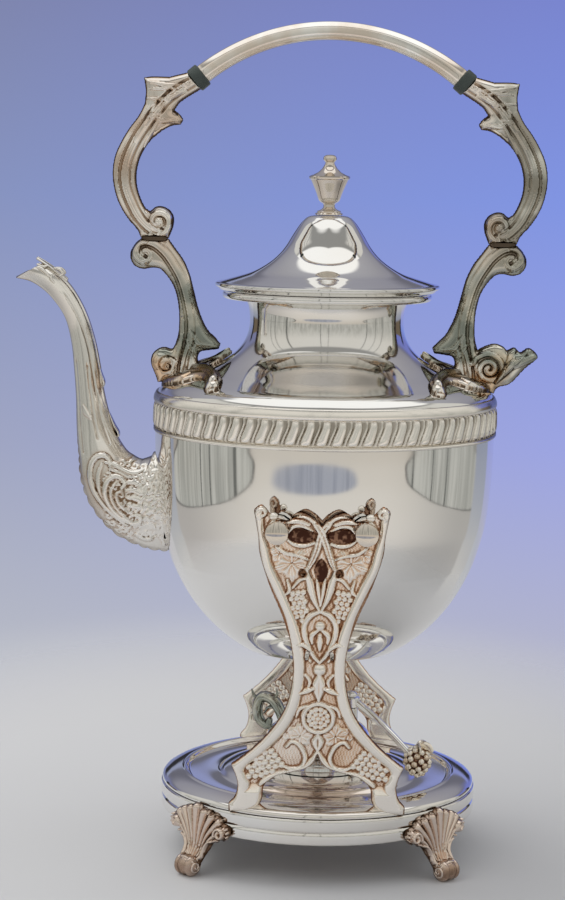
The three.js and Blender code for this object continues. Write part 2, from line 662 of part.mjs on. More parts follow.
const spiralCurl = () => [
  fromFooting(3.6, 11.7), fromFooting(7.6, 12.7), fromFooting(11.2, 11.4), fromFooting(12.6, 10.1),
  fromFooting(15.7, 11.2), fromFooting(18, 9.3), fromFooting(21.5, 11.2), fromFooting(25.2, 7.6),
  fromFooting(20, 2.6), fromFooting(13.9, -3.9), fromFooting(9, -5.5), fromFooting(7, -9),
];

function legShape(curl) {
  const top = -GAP;
  const joint = fromJoint;
  const footing = fromFooting;
  return smoothShape([
    [
      joint(5.7, top), joint(8, -2.5), joint(9.9, -6.2), joint(9.5, -9.5), joint(7.7, -11.8),
      joint(4.4, -12.8), joint(0.5, -12.2), joint(-2.5, -12.7), joint(-5.5, -15.7), joint(-8.2, -20),
      joint(-9.6, -24.5),
      footing(-0.9, 24), footing(-1.1, 18.6), footing(-0.7, 14), footing(0.4, 10),
    ],
    curl,
    [footing(7, -12)],
    [footing(-12, -12)],
    [footing(-12, 1.2)],
    [footing(-9.4, 2.6), footing(-8.9, 4.6), footing(-10, 6.9), footing(-13, 7.6), footing(-17.5, 8.2)],
    [footing(-18.3, 10.4)],
    [
      footing(-16, 13), footing(-13, 16), footing(-10.8, 20), footing(-9, 24.5), joint(-16, -19.5),
      joint(-14.5, -14.2), joint(-11.9, -8.6), joint(-8.2, -3.6), joint(-5.8, top),
    ],
    [joint(5.7, top)],
  ]);
}

function legSpine() {
  const row = ([x, z], inPlane, across) => [x, z, inPlane, across];
  return ovalSweep([
    row(fromJoint(1.5, 1), 4.4, 4.2), row(fromJoint(-0.5, -4), 4.6, 4.3), row(fromJoint(-6, -9.5), 4.2, 4.3),
    row(fromJoint(-10, -15), 3.8, 4.2), row(fromJoint(-12.6, -21), 3.3, 4),
    row(fromFooting(-4.6, 25.5), 3.3, 4), row(fromFooting(-6, 18.6), 4, 4.2), row(fromFooting(-5, 11),
    4.2, 4.4), row(fromFooting(-4, 3), 4.4, 4.6),
    row(fromFooting(-3.4, -8), 4.6, 4.8),
  ], SPINE_SIDES, 14);
}

function handleLeg(curl) {
  const [padX, padZ] = fromFooting(0.5, -4);
  const pad = ball(...FOOT_PAD).translate([padX, 0, padZ]);
  const topZ = HANDLE_JOINT_Z - GAP;
  const aboveJoint = box(HANDLE_JOINT_X - 12, HANDLE_JOINT_X + 12, -8, 8, topZ, topZ + 12);
  return plate(legShape(curl), LEG_THICKNESS).add(legSpine()).add(pad)
    .subtract(aboveJoint).subtract(shoulderCutter);
}

const mirrored = (solid) => solid.mirror([1, 0, 0]);

// Base of the stand

function trayLine() {
  const edge = BASE_RADIUS - 0.5;
  const low = RIM_HIGH_Z + GAP;
  const swell = new THREE.QuadraticBezierCurve(
    new THREE.Vector2(edge, low),
    new THREE.Vector2(edge - 0.9, TRAY_MOULDING_Z - 1),
    new THREE.Vector2(WELL_RADIUS + 1.2, TRAY_MOULDING_Z),
  );
  return [
    ...swell.getPoints(4).map((point) => [point.x, point.y]),
    [WELL_RADIUS, TRAY_MOULDING_Z - 0.7], [WELL_RADIUS - 0.6, WELL_Z], [STEP_RADIUS, WELL_Z],
    [STEP_RADIUS - 1, WELL_Z + 0.4 * (CENTRE_Z - WELL_Z)],
    [(STEP_RADIUS + CENTRE_RADIUS) / 2, CENTRE_Z - 0.6], [CENTRE_RADIUS, CENTRE_Z], [0, CENTRE_Z],
  ];
}

const trayCutter = fullBody(trayLine(), GAP);

function baseRim() {
  const inner = BASE_RADIUS - RIM_WALL;
  const groove = (RIM_LOW_Z + RIM_HIGH_Z) / 2;
  return ring([
    [inner, RIM_LOW_Z], [BASE_RADIUS - 1.8, RIM_LOW_Z], [BASE_RADIUS, RIM_LOW_Z + 0.7],
    [BASE_RADIUS, groove - 0.7], [BASE_RADIUS - 0.6, groove], [BASE_RADIUS, groove + 0.7],
    [BASE_RADIUS, RIM_HIGH_Z - 0.5], [BASE_RADIUS - 1.8, RIM_HIGH_Z], [inner, RIM_HIGH_Z],
  ]);
}

function burnerSeatRing() {
  const inner = FONT_BASE_RADIUS + RUNNING;
  const low = CENTRE_Z + GAP;
  return ring([
    [inner, low], [inner + SEAT_RING_WALL, low], [inner + SEAT_RING_WALL, low + SEAT_RING_HEIGHT - 0.8],
    [inner + SEAT_RING_WALL - 0.8, low + SEAT_RING_HEIGHT], [inner, low + SEAT_RING_HEIGHT],
  ], MEDIUM_SIDES);
}

// Foot: a scalloped shell that clasps the rim and tapers to a rolled toe.
// It is drawn at the front and turned into place.

function shellHalf() {
  const wide = FOOT_HALF_WIDTH;
  const high = FOOT_HEIGHT;
  return [
    [0, high], [0.12 * wide, high - 0.5], [0.23 * wide, high - 2], [0.38 * wide, high - 1.7],
    [0.52 * wide, high - 3.4], [0.66 * wide, high - 3.3], [0.78 * wide, high - 6], [0.93 * wide, high - 6.5],
    [wide, high - 8.8], [0.95 * wide, high - 11.8], [0.8 * wide, high - 13.6], [0.58 * wide, high - 14.6],
    [0.45 * wide, high - 16.4], [0.36 * wide, high - 19], [0.28 * wide, high - 22], [TOE_WIDTH / 2, 5],
    [TOE_WIDTH / 2, 0],
  ];
}

function shellFoot(turn) {
  const half = shellHalf();
  const outline = [...half, ...half.slice(1).reverse().map(([across, height]) => [-across, height])];
  const shape = new THREE.Shape(outline.map(([x, z]) => new THREE.Vector2(x, z)));
  const inner = BASE_RADIUS + GAP;
  const spread = FOOT_SPREAD_RADIUS;
  const clasp = ring([
    [spread - 1.4, 0], [spread + 2, 0], [spread + 2.6, 3], [spread + 1.6, 6.5], [spread - 0.6, 9.5],
    [spread - 1.6, 12.5], [spread - 0.8, 17], [spread - 0.4, 22], [spread - 0.6, 26],
    [spread, FOOT_HEIGHT + 1], [inner + 1.2, FOOT_HEIGHT + 1], [inner, RIM_HIGH_Z - 1],
    [inner, RIM_LOW_Z - 0.6], [inner - 0.8, 12.5],
    [inner + 0.4, 8], [spread - 2.4, 4],
  ], 72);
  const toeZ = TOE_RADIUS - TOE_BURIED;
  const toe = rodAlongX(TOE_RADIUS, -TOE_WIDTH / 2, TOE_WIDTH / 2, SMALL_SIDES).translate([0, -spread, toeZ]);
  return plate(shape, 20).translate([0, -spread, 0]).intersect(clasp)
    .add(toe).subtract(box(-FAR, FAR, -FAR, 0, -10, 0)).rotate([0, 0, turn]);
}

// Pierced cast panel that carries the kettle, drawn upright and then leaned outwards

const PANEL_LEAN = Math.atan2(PANEL_TOP_Y - PANEL_FOOT_Y, PIN_Z - PANEL_FOOT_Z);

// The panel is drawn for a pin at this height over its foot, with heights counted from the foot.
// They are measured along the leaning panel once it is scaled.
const DRAWN_PIN_RISE = 115.8;
const PANEL_SCALE = (PIN_Z - PANEL_FOOT_Z) / DRAWN_PIN_RISE;
const onPanel = (x, height) => [x * PANEL_SCALE, (height * PANEL_SCALE) / Math.cos(PANEL_LEAN)];

function panelHalf() {
  return [
    [
      [0, 118.3], [3.5, 121.4], [7.7, 122.8], [11.4, 121.2], [13.9, 119.7], [17.6, 120.6], [20.6, 124],
      [23.6, 125.2], [25.6, 123.4], [24.9, 119.6],
    ],
    [
      [24.5, 114], [24, 107.5], [20, 94.3], [14.2, 80.2], [10.6, 67], [10.5, 56], [13.6, 43], [21.9, 31],
      [30, 23.4], [34.2, 20.2],
    ],
    [[32.2, 15.4], [31.5, 11], [32.6, 6.6], [35.1, 3.5]],
    [[35.1, 0]],
    [[27.5, 0]],
    [[23.2, 2.6], [21.7, 6], [21.1, 10.8], [16.8, 15.5], [10, 17.6], [3.8, 19.6], [1.3, 21.8], [0, 25.2]],
  ];
}

function panelShape() {
  const lift = (run) => run.map(([x, height]) => onPanel(x, height));
  const right = panelHalf().map(lift);
  const points = right.flat();
  const starts = [0];
  right.forEach((run) => starts.push(starts[starts.length - 1] + run.length));
  const back = [];
  for (let i = right.length - 1; i >= 0; i--) {
    const run = points.slice(Math.max(starts[i] - 1, 0), starts[i + 1] - 1).reverse();
    if (run.length) back.push(run.map(([x, z]) => [-x, z]));
  }
  const shape = smoothShape([...right, ...back]);
  for (const side of [-1, 1]) {
    shape.holes.push(ovalPath(...onPanel(side * 7.7, 114.1), 5, 2, 10));
    shape.holes.push(ovalPath(...onPanel(side * 7.1, 99.7), 1.4, 1.4, 8));
  }
  shape.holes.push(ovalPath(...onPanel(0, 101.9), 2.75, 4.35, 4));
  return shape;
}

function panelSolid(turn) {
  const leaned = plate(panelShape(), PANEL_THICKNESS, 2)
    .rotate([THREE.MathUtils.radToDeg(PANEL_LEAN), 0, 0]).translate([0, -PANEL_FOOT_Y, PANEL_FOOT_Z]);
  const below = box(-BODY_RADIUS, BODY_RADIUS, -FAR, 0, PANEL_FOOT_Z - 10, PANEL_CUT_Z);
  return [-1, 1].reduce((panel, side) => (
    panel.subtract(rodAlongY(PIN_RADIUS + RUNNING, -FAR, 0, 16).translate([side * PIN_X, 0, PIN_Z]))
  ), leaned.subtract(trayCutter).subtract(below)).rotate([0, 0, turn]);
}

// Pin with a domed head outside the panel, its tip in a boss of the kettle
function pinSolid(side, turn) {
  const face = PANEL_TOP_Y + PANEL_THICKNESS / 2 / Math.cos(PANEL_LEAN);
  const headFace = face + PIN_HEAD_RADIUS * Math.tan(PANEL_LEAN) + GAP;
  return turned([
    [0, PIN_TIP_Y], [PIN_RADIUS - 0.5, PIN_TIP_Y], [PIN_RADIUS, PIN_TIP_Y + 0.5], [PIN_RADIUS, headFace],
    [PIN_HEAD_RADIUS, headFace], [PIN_HEAD_RADIUS, headFace + 0.8],
    [0.7 * PIN_HEAD_RADIUS, headFace + 0.75 * PIN_HEAD_HEIGHT], [0, headFace + PIN_HEAD_HEIGHT],
  ], 16).rotate([90, 0, 0]).translate([side * PIN_X, 0, PIN_Z]).rotate([0, 0, turn]);
}

// Bosses on the bowl for the pins: a round hole on the hinge side, an open-bottomed saddle on the other
function bossBlank(side) {
  return rodAlongY(BOSS_RADIUS, -BOSS_FACE_Y, -BODY_RADIUS + 12, 16).translate([side * PIN_X, 0, PIN_Z]);
}

function hingeBoss() {
  const bore = rodAlongY(PIN_RADIUS + RUNNING, -FAR, 0, 16).translate([-PIN_X, 0, PIN_Z]);
  return bossBlank(-1).subtract(bore).subtract(bowlCutter);
}

function restBoss() {
  const half = PIN_RADIUS + RUNNING;
  const slotShape = new THREE.Shape();
  slotShape.absarc(0, 0, half, 0, Math.PI, false);
  slotShape.lineTo(-half - SADDLE_FLARE, -BOSS_RADIUS - 1);
  slotShape.lineTo(half + SADDLE_FLARE, -BOSS_RADIUS - 1);
  slotShape.lineTo(half, 0);
  const slot = plate(slotShape, BODY_RADIUS, 4).translate([PIN_X, -BODY_RADIUS, PIN_Z]);
  return bossBlank(1).subtract(slot).subtract(bowlCutter);
}

const turnedRound = (solid) => solid.rotate([0, 0, 180]).mirror([1, 0, 0]);

// Spirit burner

const FONT_Z = CENTRE_Z + GAP;
const COLLAR_Z = FONT_Z + FONT_HEIGHT + GAP;
const WICK_TUBE_TOP_Z = COLLAR_Z + COLLAR_HEIGHT + WICK_TUBE_HEIGHT;
const WICK_TOP_Z = WICK_TUBE_TOP_Z + WICK_SHOWS;

function fontLine() {
  return [
    [0, FONT_Z], [FONT_BASE_RADIUS, FONT_Z], [FONT_BASE_RADIUS, FONT_Z + 0.28 * FONT_HEIGHT],
    [FONT_RADIUS, FONT_Z + 0.48 * FONT_HEIGHT], [0.94 * FONT_RADIUS, FONT_Z + 0.74 * FONT_HEIGHT],
    [0.66 * FONT_RADIUS, FONT_Z + 0.95 * FONT_HEIGHT], [FONT_MOUTH_RADIUS + FONT_WALL, FONT_Z + FONT_HEIGHT],
  ];
}

const fontCutter = fullBody(fontLine(), GAP, MEDIUM_SIDES);

function burnerFont() {
  const outside = fontLine();
  const inside = offsetLine(outside, FONT_WALL).slice(0, -1).reverse();
  inside[inside.length - 2] = [FONT_BASE_RADIUS - FONT_WALL, FONT_Z + FONT_WALL];
  const topZ = FONT_Z + FONT_HEIGHT;
  return turned([...outside, [FONT_MOUTH_RADIUS, topZ], [FONT_MOUTH_RADIUS, topZ - FONT_WALL], ...inside],
    MEDIUM_SIDES);
}

function burnerCollar() {
  const bore = WICK_RADIUS + RUNNING;
  const plug = FONT_MOUTH_RADIUS - RUNNING;
  const top = COLLAR_Z + COLLAR_HEIGHT;
  return ring([
    [bore, COLLAR_Z - 4], [plug, COLLAR_Z - 4], [plug, COLLAR_Z], [COLLAR_RADIUS, COLLAR_Z],
    [COLLAR_RADIUS, top - 1.2], [COLLAR_RADIUS - 1.2, top], [WICK_TUBE_RADIUS, top],
    [WICK_TUBE_RADIUS, WICK_TUBE_TOP_Z], [bore, WICK_TUBE_TOP_Z],
  ], MEDIUM_SIDES);
}

function wickSolid() {
  return rodAlongZ(WICK_RADIUS, WICK_TOP_Z - WICK_LENGTH, WICK_TOP_Z);
}

function burnerHandle() {
  return ovalSweep([
    [15, 50, 2.6, 2.2], [19, 54, 2.8, 2.2], [22.5, 58, 2.9, 2.3], [27.5, 58.6, 2.8, 2.3], [30, 54, 2.6, 2.2],
    [28.8, 48.6, 2.3, 2], [25, 46.6, 1.9, 1.8], [23.8, 49.2, 1.3, 1.3],
  ], SPINE_SIDES, 14).subtract(fontCutter).rotate([0, 0, THREE.MathUtils.radToDeg(BURNER_HANDLE_ANGLE)]);
}

// Snuffer, drawn along +X and turned to its place

const EYE_Z = FONT_Z + FONT_HEIGHT + POST_SHOULDER_RISE + GAP;
const CAP_Z = WICK_TOP_Z + CAP_LIFT;
const toLeverAngle = (solid) => solid.rotate([0, 0, THREE.MathUtils.radToDeg(LEVER_ANGLE)]);

function snufferPost() {
  const shoulder = EYE_Z - GAP;
  const headZ = EYE_Z + LEVER_EYE_HEIGHT + GAP;
  const post = turned([
    [0, FONT_Z + 0.6 * FONT_HEIGHT], [POST_RADIUS, FONT_Z + 0.6 * FONT_HEIGHT], [POST_RADIUS, shoulder],
    [POST_PIN_RADIUS, shoulder], [POST_PIN_RADIUS, headZ], [POST_HEAD_RADIUS, headZ],
    [POST_HEAD_RADIUS, headZ + 1.2], [0, headZ + 2.2],
  ], SMALL_SIDES).translate([POST_REACH, 0, 0]);
  return toLeverAngle(post.subtract(fontCutter));
}

function capBlank(clearance) {
  return turned([
    [0, CAP_Z - clearance], [CAP_RADIUS + clearance, CAP_Z - clearance],
    [CAP_RADIUS + clearance, CAP_Z + 0.6 * CAP_HEIGHT],
    [0.7 * CAP_RADIUS + clearance, CAP_Z + CAP_HEIGHT + clearance],
    [0, CAP_Z + CAP_HEIGHT + clearance],
  ], 16);
}

function leverRod(grown) {
  const middle = EYE_Z + LEVER_EYE_HEIGHT / 2;
  const thick = LEVER_RADIUS + grown;
  return ovalSweep([
    [POST_REACH + 2.6, middle, thick, thick], [POST_REACH + 9, middle - 3.6, thick, thick],
    [KNOB_REACH - 12, KNOB_Z + 9.4, thick, thick], [KNOB_REACH + grown, KNOB_Z + 0.4, thick, thick],
  ], SPINE_SIDES, 8);
}

function snufferLever() {
  const middle = EYE_Z + LEVER_EYE_HEIGHT / 2;
  const padZ = CAP_Z + CAP_HEIGHT + GAP;
  const eye = rodAlongZ(LEVER_EYE_RADIUS, EYE_Z, EYE_Z + LEVER_EYE_HEIGHT, 16).translate([POST_REACH, 0, 0]);
  const hole = rodAlongZ(POST_PIN_RADIUS + RUNNING, EYE_Z - 2, EYE_Z + LEVER_EYE_HEIGHT + 2)
    .translate([POST_REACH, 0, 0]);
  const inner = ovalSweep([
    [POST_REACH - 2.6, middle, 1.6, 1.6], [POST_REACH - 5.4, middle + 1.2, 1.6, 1.6],
    [POST_REACH - 6.4, middle + 6, 1.5, 1.5], [CAP_RADIUS - 1, padZ + 0.8, 1.4, 1.5], [1, padZ + 1, 1, 1.5],
  ], SPINE_SIDES, 12);
  const pad = rodAlongZ(3, padZ, padZ + 1.6);
  return toLeverAngle(eye.add(inner).add(pad).add(leverRod(0)).subtract(hole).subtract(capBlank(GAP)));
}

function snufferKnob() {
  const whole = ball(KNOB_RADIUS, KNOB_RADIUS, KNOB_HEIGHT / 2).translate([KNOB_REACH, 0, KNOB_Z]);
  return toLeverAngle(whole.subtract(leverRod(GAP)));
}

// Assembly

function group(name, members) {
  const whole = new THREE.Group();
  whole.name = name;
  whole.add(...members);
  return whole;
}

function standGroup() {
  return group('stand', [
    piece('base_tray', shellOf(trayLine(), TRAY_SHEET), SILVER),
    piece('base_rim', baseRim(), SILVER),
    piece('foot_front_left', shellFoot(-45), CAST_SILVER),
    piece('foot_front_right', shellFoot(45), CAST_SILVER),
    piece('foot_rear_left', shellFoot(-135), CAST_SILVER),
    piece('foot_rear_right', shellFoot(135), CAST_SILVER),
    piece('burner_seat_ring', burnerSeatRing(), SILVER),
    piece('panel_front', panelSolid(0), CAST_SILVER),
    piece('panel_rear', panelSolid(180), CAST_SILVER),
    piece('hinge_pin_front', pinSolid(-1, 0), SILVER),
    piece('hinge_pin_rear', pinSolid(1, 180), SILVER),
    piece('lock_pin_front', pinSolid(1, 0), SILVER),
    piece('lock_pin_rear', pinSolid(-1, 180), SILVER),
  ]);
}

function handleGroup() {
  return group('handle', [
    piece('handle_leg_left', mirrored(handleLeg(ballCurl())), CAST_SILVER),
    piece('handle_leg_right', handleLeg(spiralCurl()), CAST_SILVER),
    piece('handle_arm_left', mirrored(handleArm()), CAST_SILVER),
    piece('handle_arm_right', handleArm(), CAST_SILVER),
    piece('handle_insulator_left', mirrored(handleInsulator()), INSULATOR_FIBRE),
    piece('handle_insulator_right', handleInsulator(), INSULATOR_FIBRE),
    piece('handle_grip', handleGrip(), SILVER),
  ]);
}

function lidGroup() {
  return group('lid_group', [
    piece('lid', lidSolid(), SILVER),
    piece('lid_hinge_tongue', hingeTongue(), SILVER),
    piece('finial', finialSolid(), SILVER),
    piece('finial_nut', finialNut(), SILVER),
  ]);
}

function kettleGroup() {
  return group('kettle', [
    piece('kettle_bowl', kettleBowl(), SILVER),
    piece('kettle_shoulder', kettleShoulder(), SILVER),
    piece('gadroon_belt', gadroonBelt(), SILVER),
    piece('mouth_ring', mouthRing(), SILVER),
    piece('hinge_boss_front', hingeBoss(), SILVER),
    piece('hinge_boss_rear', turnedRound(hingeBoss()), SILVER),
    piece('rest_boss_front', restBoss(), SILVER),
    piece('rest_boss_rear', turnedRound(restBoss()), SILVER),
    piece('spout', spoutSolid(), SILVER),
    piece('lid_hinge_bracket', hingeBracket(), SILVER),
    piece('lid_hinge_pin', lidHingePin(), SILVER),
    handleGroup(),
    lidGroup(),
  ]);
}

function burnerGroup() {
  return group('burner', [
    piece('burner_font', burnerFont(), SILVER),
    piece('burner_collar', burnerCollar(), SILVER),
    piece('wick', wickSolid(), WICK_COTTON),
    piece('burner_handle', burnerHandle(), CAST_SILVER),
    piece('snuffer_post', snufferPost(), SILVER),
    piece('snuffer_lever', snufferLever(), SILVER),
    piece('snuffer_cap', toLeverAngle(capBlank(0)), SILVER),
    piece('snuffer_knob', snufferKnob(), CAST_SILVER),
  ]);
}

const teaKettle = group('tea_kettle_on_stand', [standGroup(), kettleGroup(), burnerGroup()]);
teaKettle.position.x = AXIS_X;

export default teaKettle;
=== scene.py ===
"""A silver-plated tea kettle on its stand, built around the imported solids. Lengths are in millimetres from
the kettle's upright axis until a piece is finished, then in metres in the frame of the part."""

import math

import bmesh
import bpy
import numpy as np
from mathutils import Matrix, Vector


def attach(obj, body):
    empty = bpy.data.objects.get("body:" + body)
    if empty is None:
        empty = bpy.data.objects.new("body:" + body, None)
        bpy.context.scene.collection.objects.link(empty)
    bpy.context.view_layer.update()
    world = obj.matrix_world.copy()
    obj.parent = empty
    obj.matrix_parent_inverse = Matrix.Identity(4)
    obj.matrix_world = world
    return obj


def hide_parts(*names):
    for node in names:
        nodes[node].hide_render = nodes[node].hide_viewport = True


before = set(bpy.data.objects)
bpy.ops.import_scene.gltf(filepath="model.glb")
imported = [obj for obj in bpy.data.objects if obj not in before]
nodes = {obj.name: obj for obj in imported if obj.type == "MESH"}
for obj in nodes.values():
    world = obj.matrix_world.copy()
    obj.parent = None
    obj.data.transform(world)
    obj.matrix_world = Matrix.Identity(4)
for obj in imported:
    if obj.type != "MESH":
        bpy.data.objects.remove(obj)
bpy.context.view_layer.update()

ROUND = 160

# Main sizes in millimetres, angles in degrees
AXIS_X = 20.0
WALL = 1.2
BOWL_RADIUS = 70.2
BOWL_WAIST = 160
BOWL_DEPTH = 83.4
BOWL_FULLNESS = 2.1
BELT_RADIUS = 70.4
BELT_LOBES = 72
GRIP_RADIUS = 84.2
GRIP_CENTRE = 254.5
INSULATOR_ANGLE = 40.07
PANEL_BOTTOM = 28
PANEL_FOOT_OUT = 56.2
PIN_OUT = 17.3
PIN_HEIGHT = 143.8
PIN_REACH = 73.2
TOE_OUT = 72.6
TOE_HEIGHT = 4.2
POST_OUT = 15
SNUFFER_TURN = -29

# Lens and place of the camera, which stands a little to the right of the part's front
CAMERA_TURN = math.radians(1.2)
CAMERA_PLACE = (0.0027, -0.940, 0.2826)
CAMERA_DOWN = 7.03
CAMERA_ROLL = 1.05
CAMERA_VIEW = 22.34


# Lines and curves

def curve(points, per=8):
    """Smooth line through all the points, one row per step. Extra columns, such as widths, are smoothed."""
    p = np.array(points, float)
    p = np.vstack([2 * p[0] - p[1], p, 2 * p[-1] - p[-2]])
    rows = []
    for i in range(1, len(p) - 2):
        a, b, c, d = p[i - 1:i + 3]
        la, lb, lc = (max(np.linalg.norm(q) ** 0.5, 1e-4) for q in (b - a, c - b, d - c))
        m1 = (c - b) + lb * ((b - a) / la - (c - a) / (la + lb))
        m2 = (c - b) + lb * ((d - c) / lc - (d - b) / (lb + lc))
        for t in np.arange(per) / per:
            h = (2 * t ** 3 - 3 * t ** 2 + 1, t ** 3 - 2 * t ** 2 + t, 3 * t ** 2 - 2 * t ** 3, t ** 3 - t ** 2)
            rows.append(h[0] * b + h[1] * m1 + h[2] * c + h[3] * m2)
    rows.append(p[-2])
    return np.array(rows)


def bezier(a, b, c, d, steps):
    a, b, c, d = (np.array(q, float) for q in (a, b, c, d))
    t = np.linspace(0, 1, steps + 1)[:, None]
    return (1 - t) ** 3 * a + 3 * (1 - t) ** 2 * t * b + 3 * (1 - t) * t ** 2 * c + t ** 3 * d


def spiral(cx, cy, start, turns, outer, inner, steps=40):
    """Points of a flat spiral that winds in from its outer radius. start is an angle in degrees, and turns may
    be negative."""
    t = np.linspace(0, 1, steps + 1)
    angle = np.radians(start) + 2 * np.pi * turns * t
    radius = outer + (inner - outer) * t ** 0.8
    return np.column_stack([cx + radius * np.cos(angle), cy + radius * np.sin(angle)])


def mirror(points):
    flipped = np.array(points, float).copy()
    flipped[:, 0] *= -1
    return flipped


def polar(radius, angle):
    return radius * math.cos(math.radians(angle)), radius * math.sin(math.radians(angle))


# Meshes

def sheet(bm, places, wrap=False, tones=None):
    """A grid bent through places, an array of rows by columns by 3. wrap joins the last column to the first."""
    rows, cols = places.shape[:2]
    made = bmesh.ops.create_grid(bm, x_segments=cols - 1, y_segments=rows - 1, size=0.5)["verts"]
    order = sorted(made, key=lambda v: (round(v.co.y, 6), round(v.co.x, 6)))
    flat = places.reshape(-1, 3)
    for vert, place in zip(order, flat):
        vert.co = place
    if tones is not None:
        layer = bm.verts.layers.float["cavity"]
        for vert, tone in zip(order, tones.reshape(-1)):
            vert[layer] = tone
    if wrap:
        pairs = {order[r * cols + cols - 1]: order[r * cols] for r in range(rows)}
        bmesh.ops.weld_verts(bm, targetmap=pairs)


def tube(bm, path, radii, sides=14, section=None):
    """A tube along path with round ends. radii is one number, one per point, or two: sideways and upwards."""
    path = np.array(path, float)
    radii = np.array(radii, float)
    if radii.ndim == 0:
        radii = np.full(len(path), float(radii))
    if radii.ndim == 1:
        radii = np.column_stack([radii, radii])
    along = np.array([0.0, 0.45, 0.8])
    size = np.sqrt(1 - (1 - along) ** 2)
    head = (path[0] - path[1]) / (np.linalg.norm(path[0] - path[1]) + 1e-9)
    tail = (path[-1] - path[-2]) / (np.linalg.norm(path[-1] - path[-2]) + 1e-9)
    reach0, reach1 = radii[0].min() * 0.7, radii[-1].min() * 0.7
    start = [path[0] + head * reach0 * (1 - a) for a in along]
    end = [path[-1] + tail * reach1 * (1 - a) for a in along[::-1]]
    path = np.vstack([start, path, end])
    radii = np.vstack([np.outer(size, radii[0]), radii, np.outer(size[::-1], radii[-1])])
    tangents = np.gradient(path, axis=0)
    tangents /= np.linalg.norm(tangents, axis=1)[:, None] + 1e-9
    side = np.cross(tangents[0], [0, 1, 0])
    if np.linalg.norm(side) < 0.1:
        side = np.cross(tangents[0], [0, 0, 1])
    frames = []
    for t in tangents:
        side = side - t * side.dot(t)
        side /= np.linalg.norm(side) + 1e-9
        frames.append((side.copy(), np.cross(t, side)))
    around = np.linspace(0, 2 * np.pi, sides + 1)
    unit = np.column_stack([np.cos(around), np.sin(around)])
    if section is not None:
        unit = unit * np.array([section(a) for a in around])[:, None]
    places = np.array([
        p + np.outer(unit[:, 0] * r[0], s) + np.outer(unit[:, 1] * r[1], u)
        for p, r, (s, u) in zip(path, radii, frames)
    ])
    sheet(bm, places, wrap=True)


def lathe(line, steps=ROUND, closed=False):
    """A body turned about the upright axis from a line of [radius, height]."""
    bm = bmesh.new()
    verts = [bm.verts.new((r, 0, z)) for r, z in line]
    edges = [bm.edges.new(pair) for pair in zip(verts, verts[1:])]
    if closed:
        edges.append(bm.edges.new((verts[-1], verts[0])))
    bmesh.ops.spin(bm, geom=verts + edges, angle=2 * math.pi, steps=steps, axis=(0, 0, 1), cent=(0, 0, 0),
                   use_merge=True)
    bmesh.ops.remove_doubles(bm, verts=bm.verts[:], dist=1e-4)
    return bm


def lump(bm, centre, radii, detail=2):
    """A small smooth ball, stretched to its three radii."""
    made = bmesh.ops.create_icosphere(bm, subdivisions=detail, radius=1)["verts"]
    bmesh.ops.scale(bm, vec=radii, verts=made)
    bmesh.ops.translate(bm, vec=centre, verts=made)
    return made


def add_shape(bm, other):
    """Adds all of another bmesh to bm."""
    mesh = bpy.data.meshes.new("added shape")
    other.to_mesh(mesh)
    other.free()
    bm.from_mesh(mesh)
    bpy.data.meshes.remove(mesh)


def set_tone(bm, verts, tone):
    layer = bm.verts.layers.float["cavity"]
    for vert in verts:
        vert[layer] = tone


def shade_hollows(bm):
    """Gives each vertex that has no tone yet one by how far it stands proud of its neighbours."""
    layer = bm.verts.layers.float.get("cavity") or bm.verts.layers.float.new("cavity")
    bm.normal_update()
    for vert in bm.verts:
        if vert[layer] > 0:
            continue
        near = [edge.other_vert(vert).co - vert.co for edge in vert.link_edges]
        reach = sum(step.length for step in near) + 1e-9
        proud = -sum(step.dot(vert.normal) for step in near) / reach
        vert[layer] = min(max(0.56 + 0.9 * proud, 0.05), 1)


def finished(bm, name, body, node, finish="polished_silver", look=None, crease=38, turn=0):
    """Turns a bmesh in millimetres into the finished piece that stands for a node and moves with its body.
    finish is its kind of material, and look the variant of it that the piece wears."""
    name = name.replace(" ", "_")
    bmesh.ops.remove_doubles(bm, verts=bm.verts[:], dist=2e-4)
    bmesh.ops.dissolve_degenerate(bm, edges=bm.edges[:], dist=1e-4)
    bmesh.ops.recalc_face_normals(bm, faces=bm.faces[:])
    if finish == "cast_silver":
        shade_hollows(bm)
    for face in bm.faces:
        face.smooth = True
    for edge in bm.edges:
        if len(edge.link_faces) == 2 and edge.calc_face_angle(0) > math.radians(crease):
            edge.smooth = False
    place = Matrix.Diagonal((0.001, 0.001, 0.001, 1)) @ Matrix.Translation((AXIS_X, 0, 0))
    bmesh.ops.transform(bm, matrix=place @ Matrix.Rotation(math.radians(turn), 4, "Z"), verts=bm.verts[:])
    mesh = bpy.data.meshes.new(name)
    bm.to_mesh(mesh)
    bm.free()
    piece = bpy.data.objects.new(name, mesh)
    bpy.context.scene.collection.objects.link(piece)
    mesh.materials.append(FINISHES[look or finish])
    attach(piece, body)
    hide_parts(node)


# Relief castings: a fine grid cut to an outline and raised by a height for each point

# The darkest tone of a casting's own surface, and the tone of the painted shade that fills its openings
LOWEST_TONE = 0.09
OPENING_SHADE_TONE = 0.06


def nearest(line, x, y, widths=None):
    """Distance from points to a line, and the width that the line has at the nearest place."""
    best = np.full(x.shape, 1e9)
    width = np.zeros(x.shape)
    for i in range(len(line) - 1):
        (ax, ay), (bx, by) = line[i][:2], line[i + 1][:2]
        dx, dy = bx - ax, by - ay
        t = np.clip(((x - ax) * dx + (y - ay) * dy) / (dx * dx + dy * dy + 1e-12), 0, 1)
        d = np.hypot(x - ax - t * dx, y - ay - t * dy)
        near = d < best
        best[near] = d[near]
        if widths is not None:
            w = widths[i] + t * (widths[i + 1] - widths[i])
            width[near] = w[near]
    return best, width


def distance_to(line, x, y):
    return nearest(line, x, y)[0]


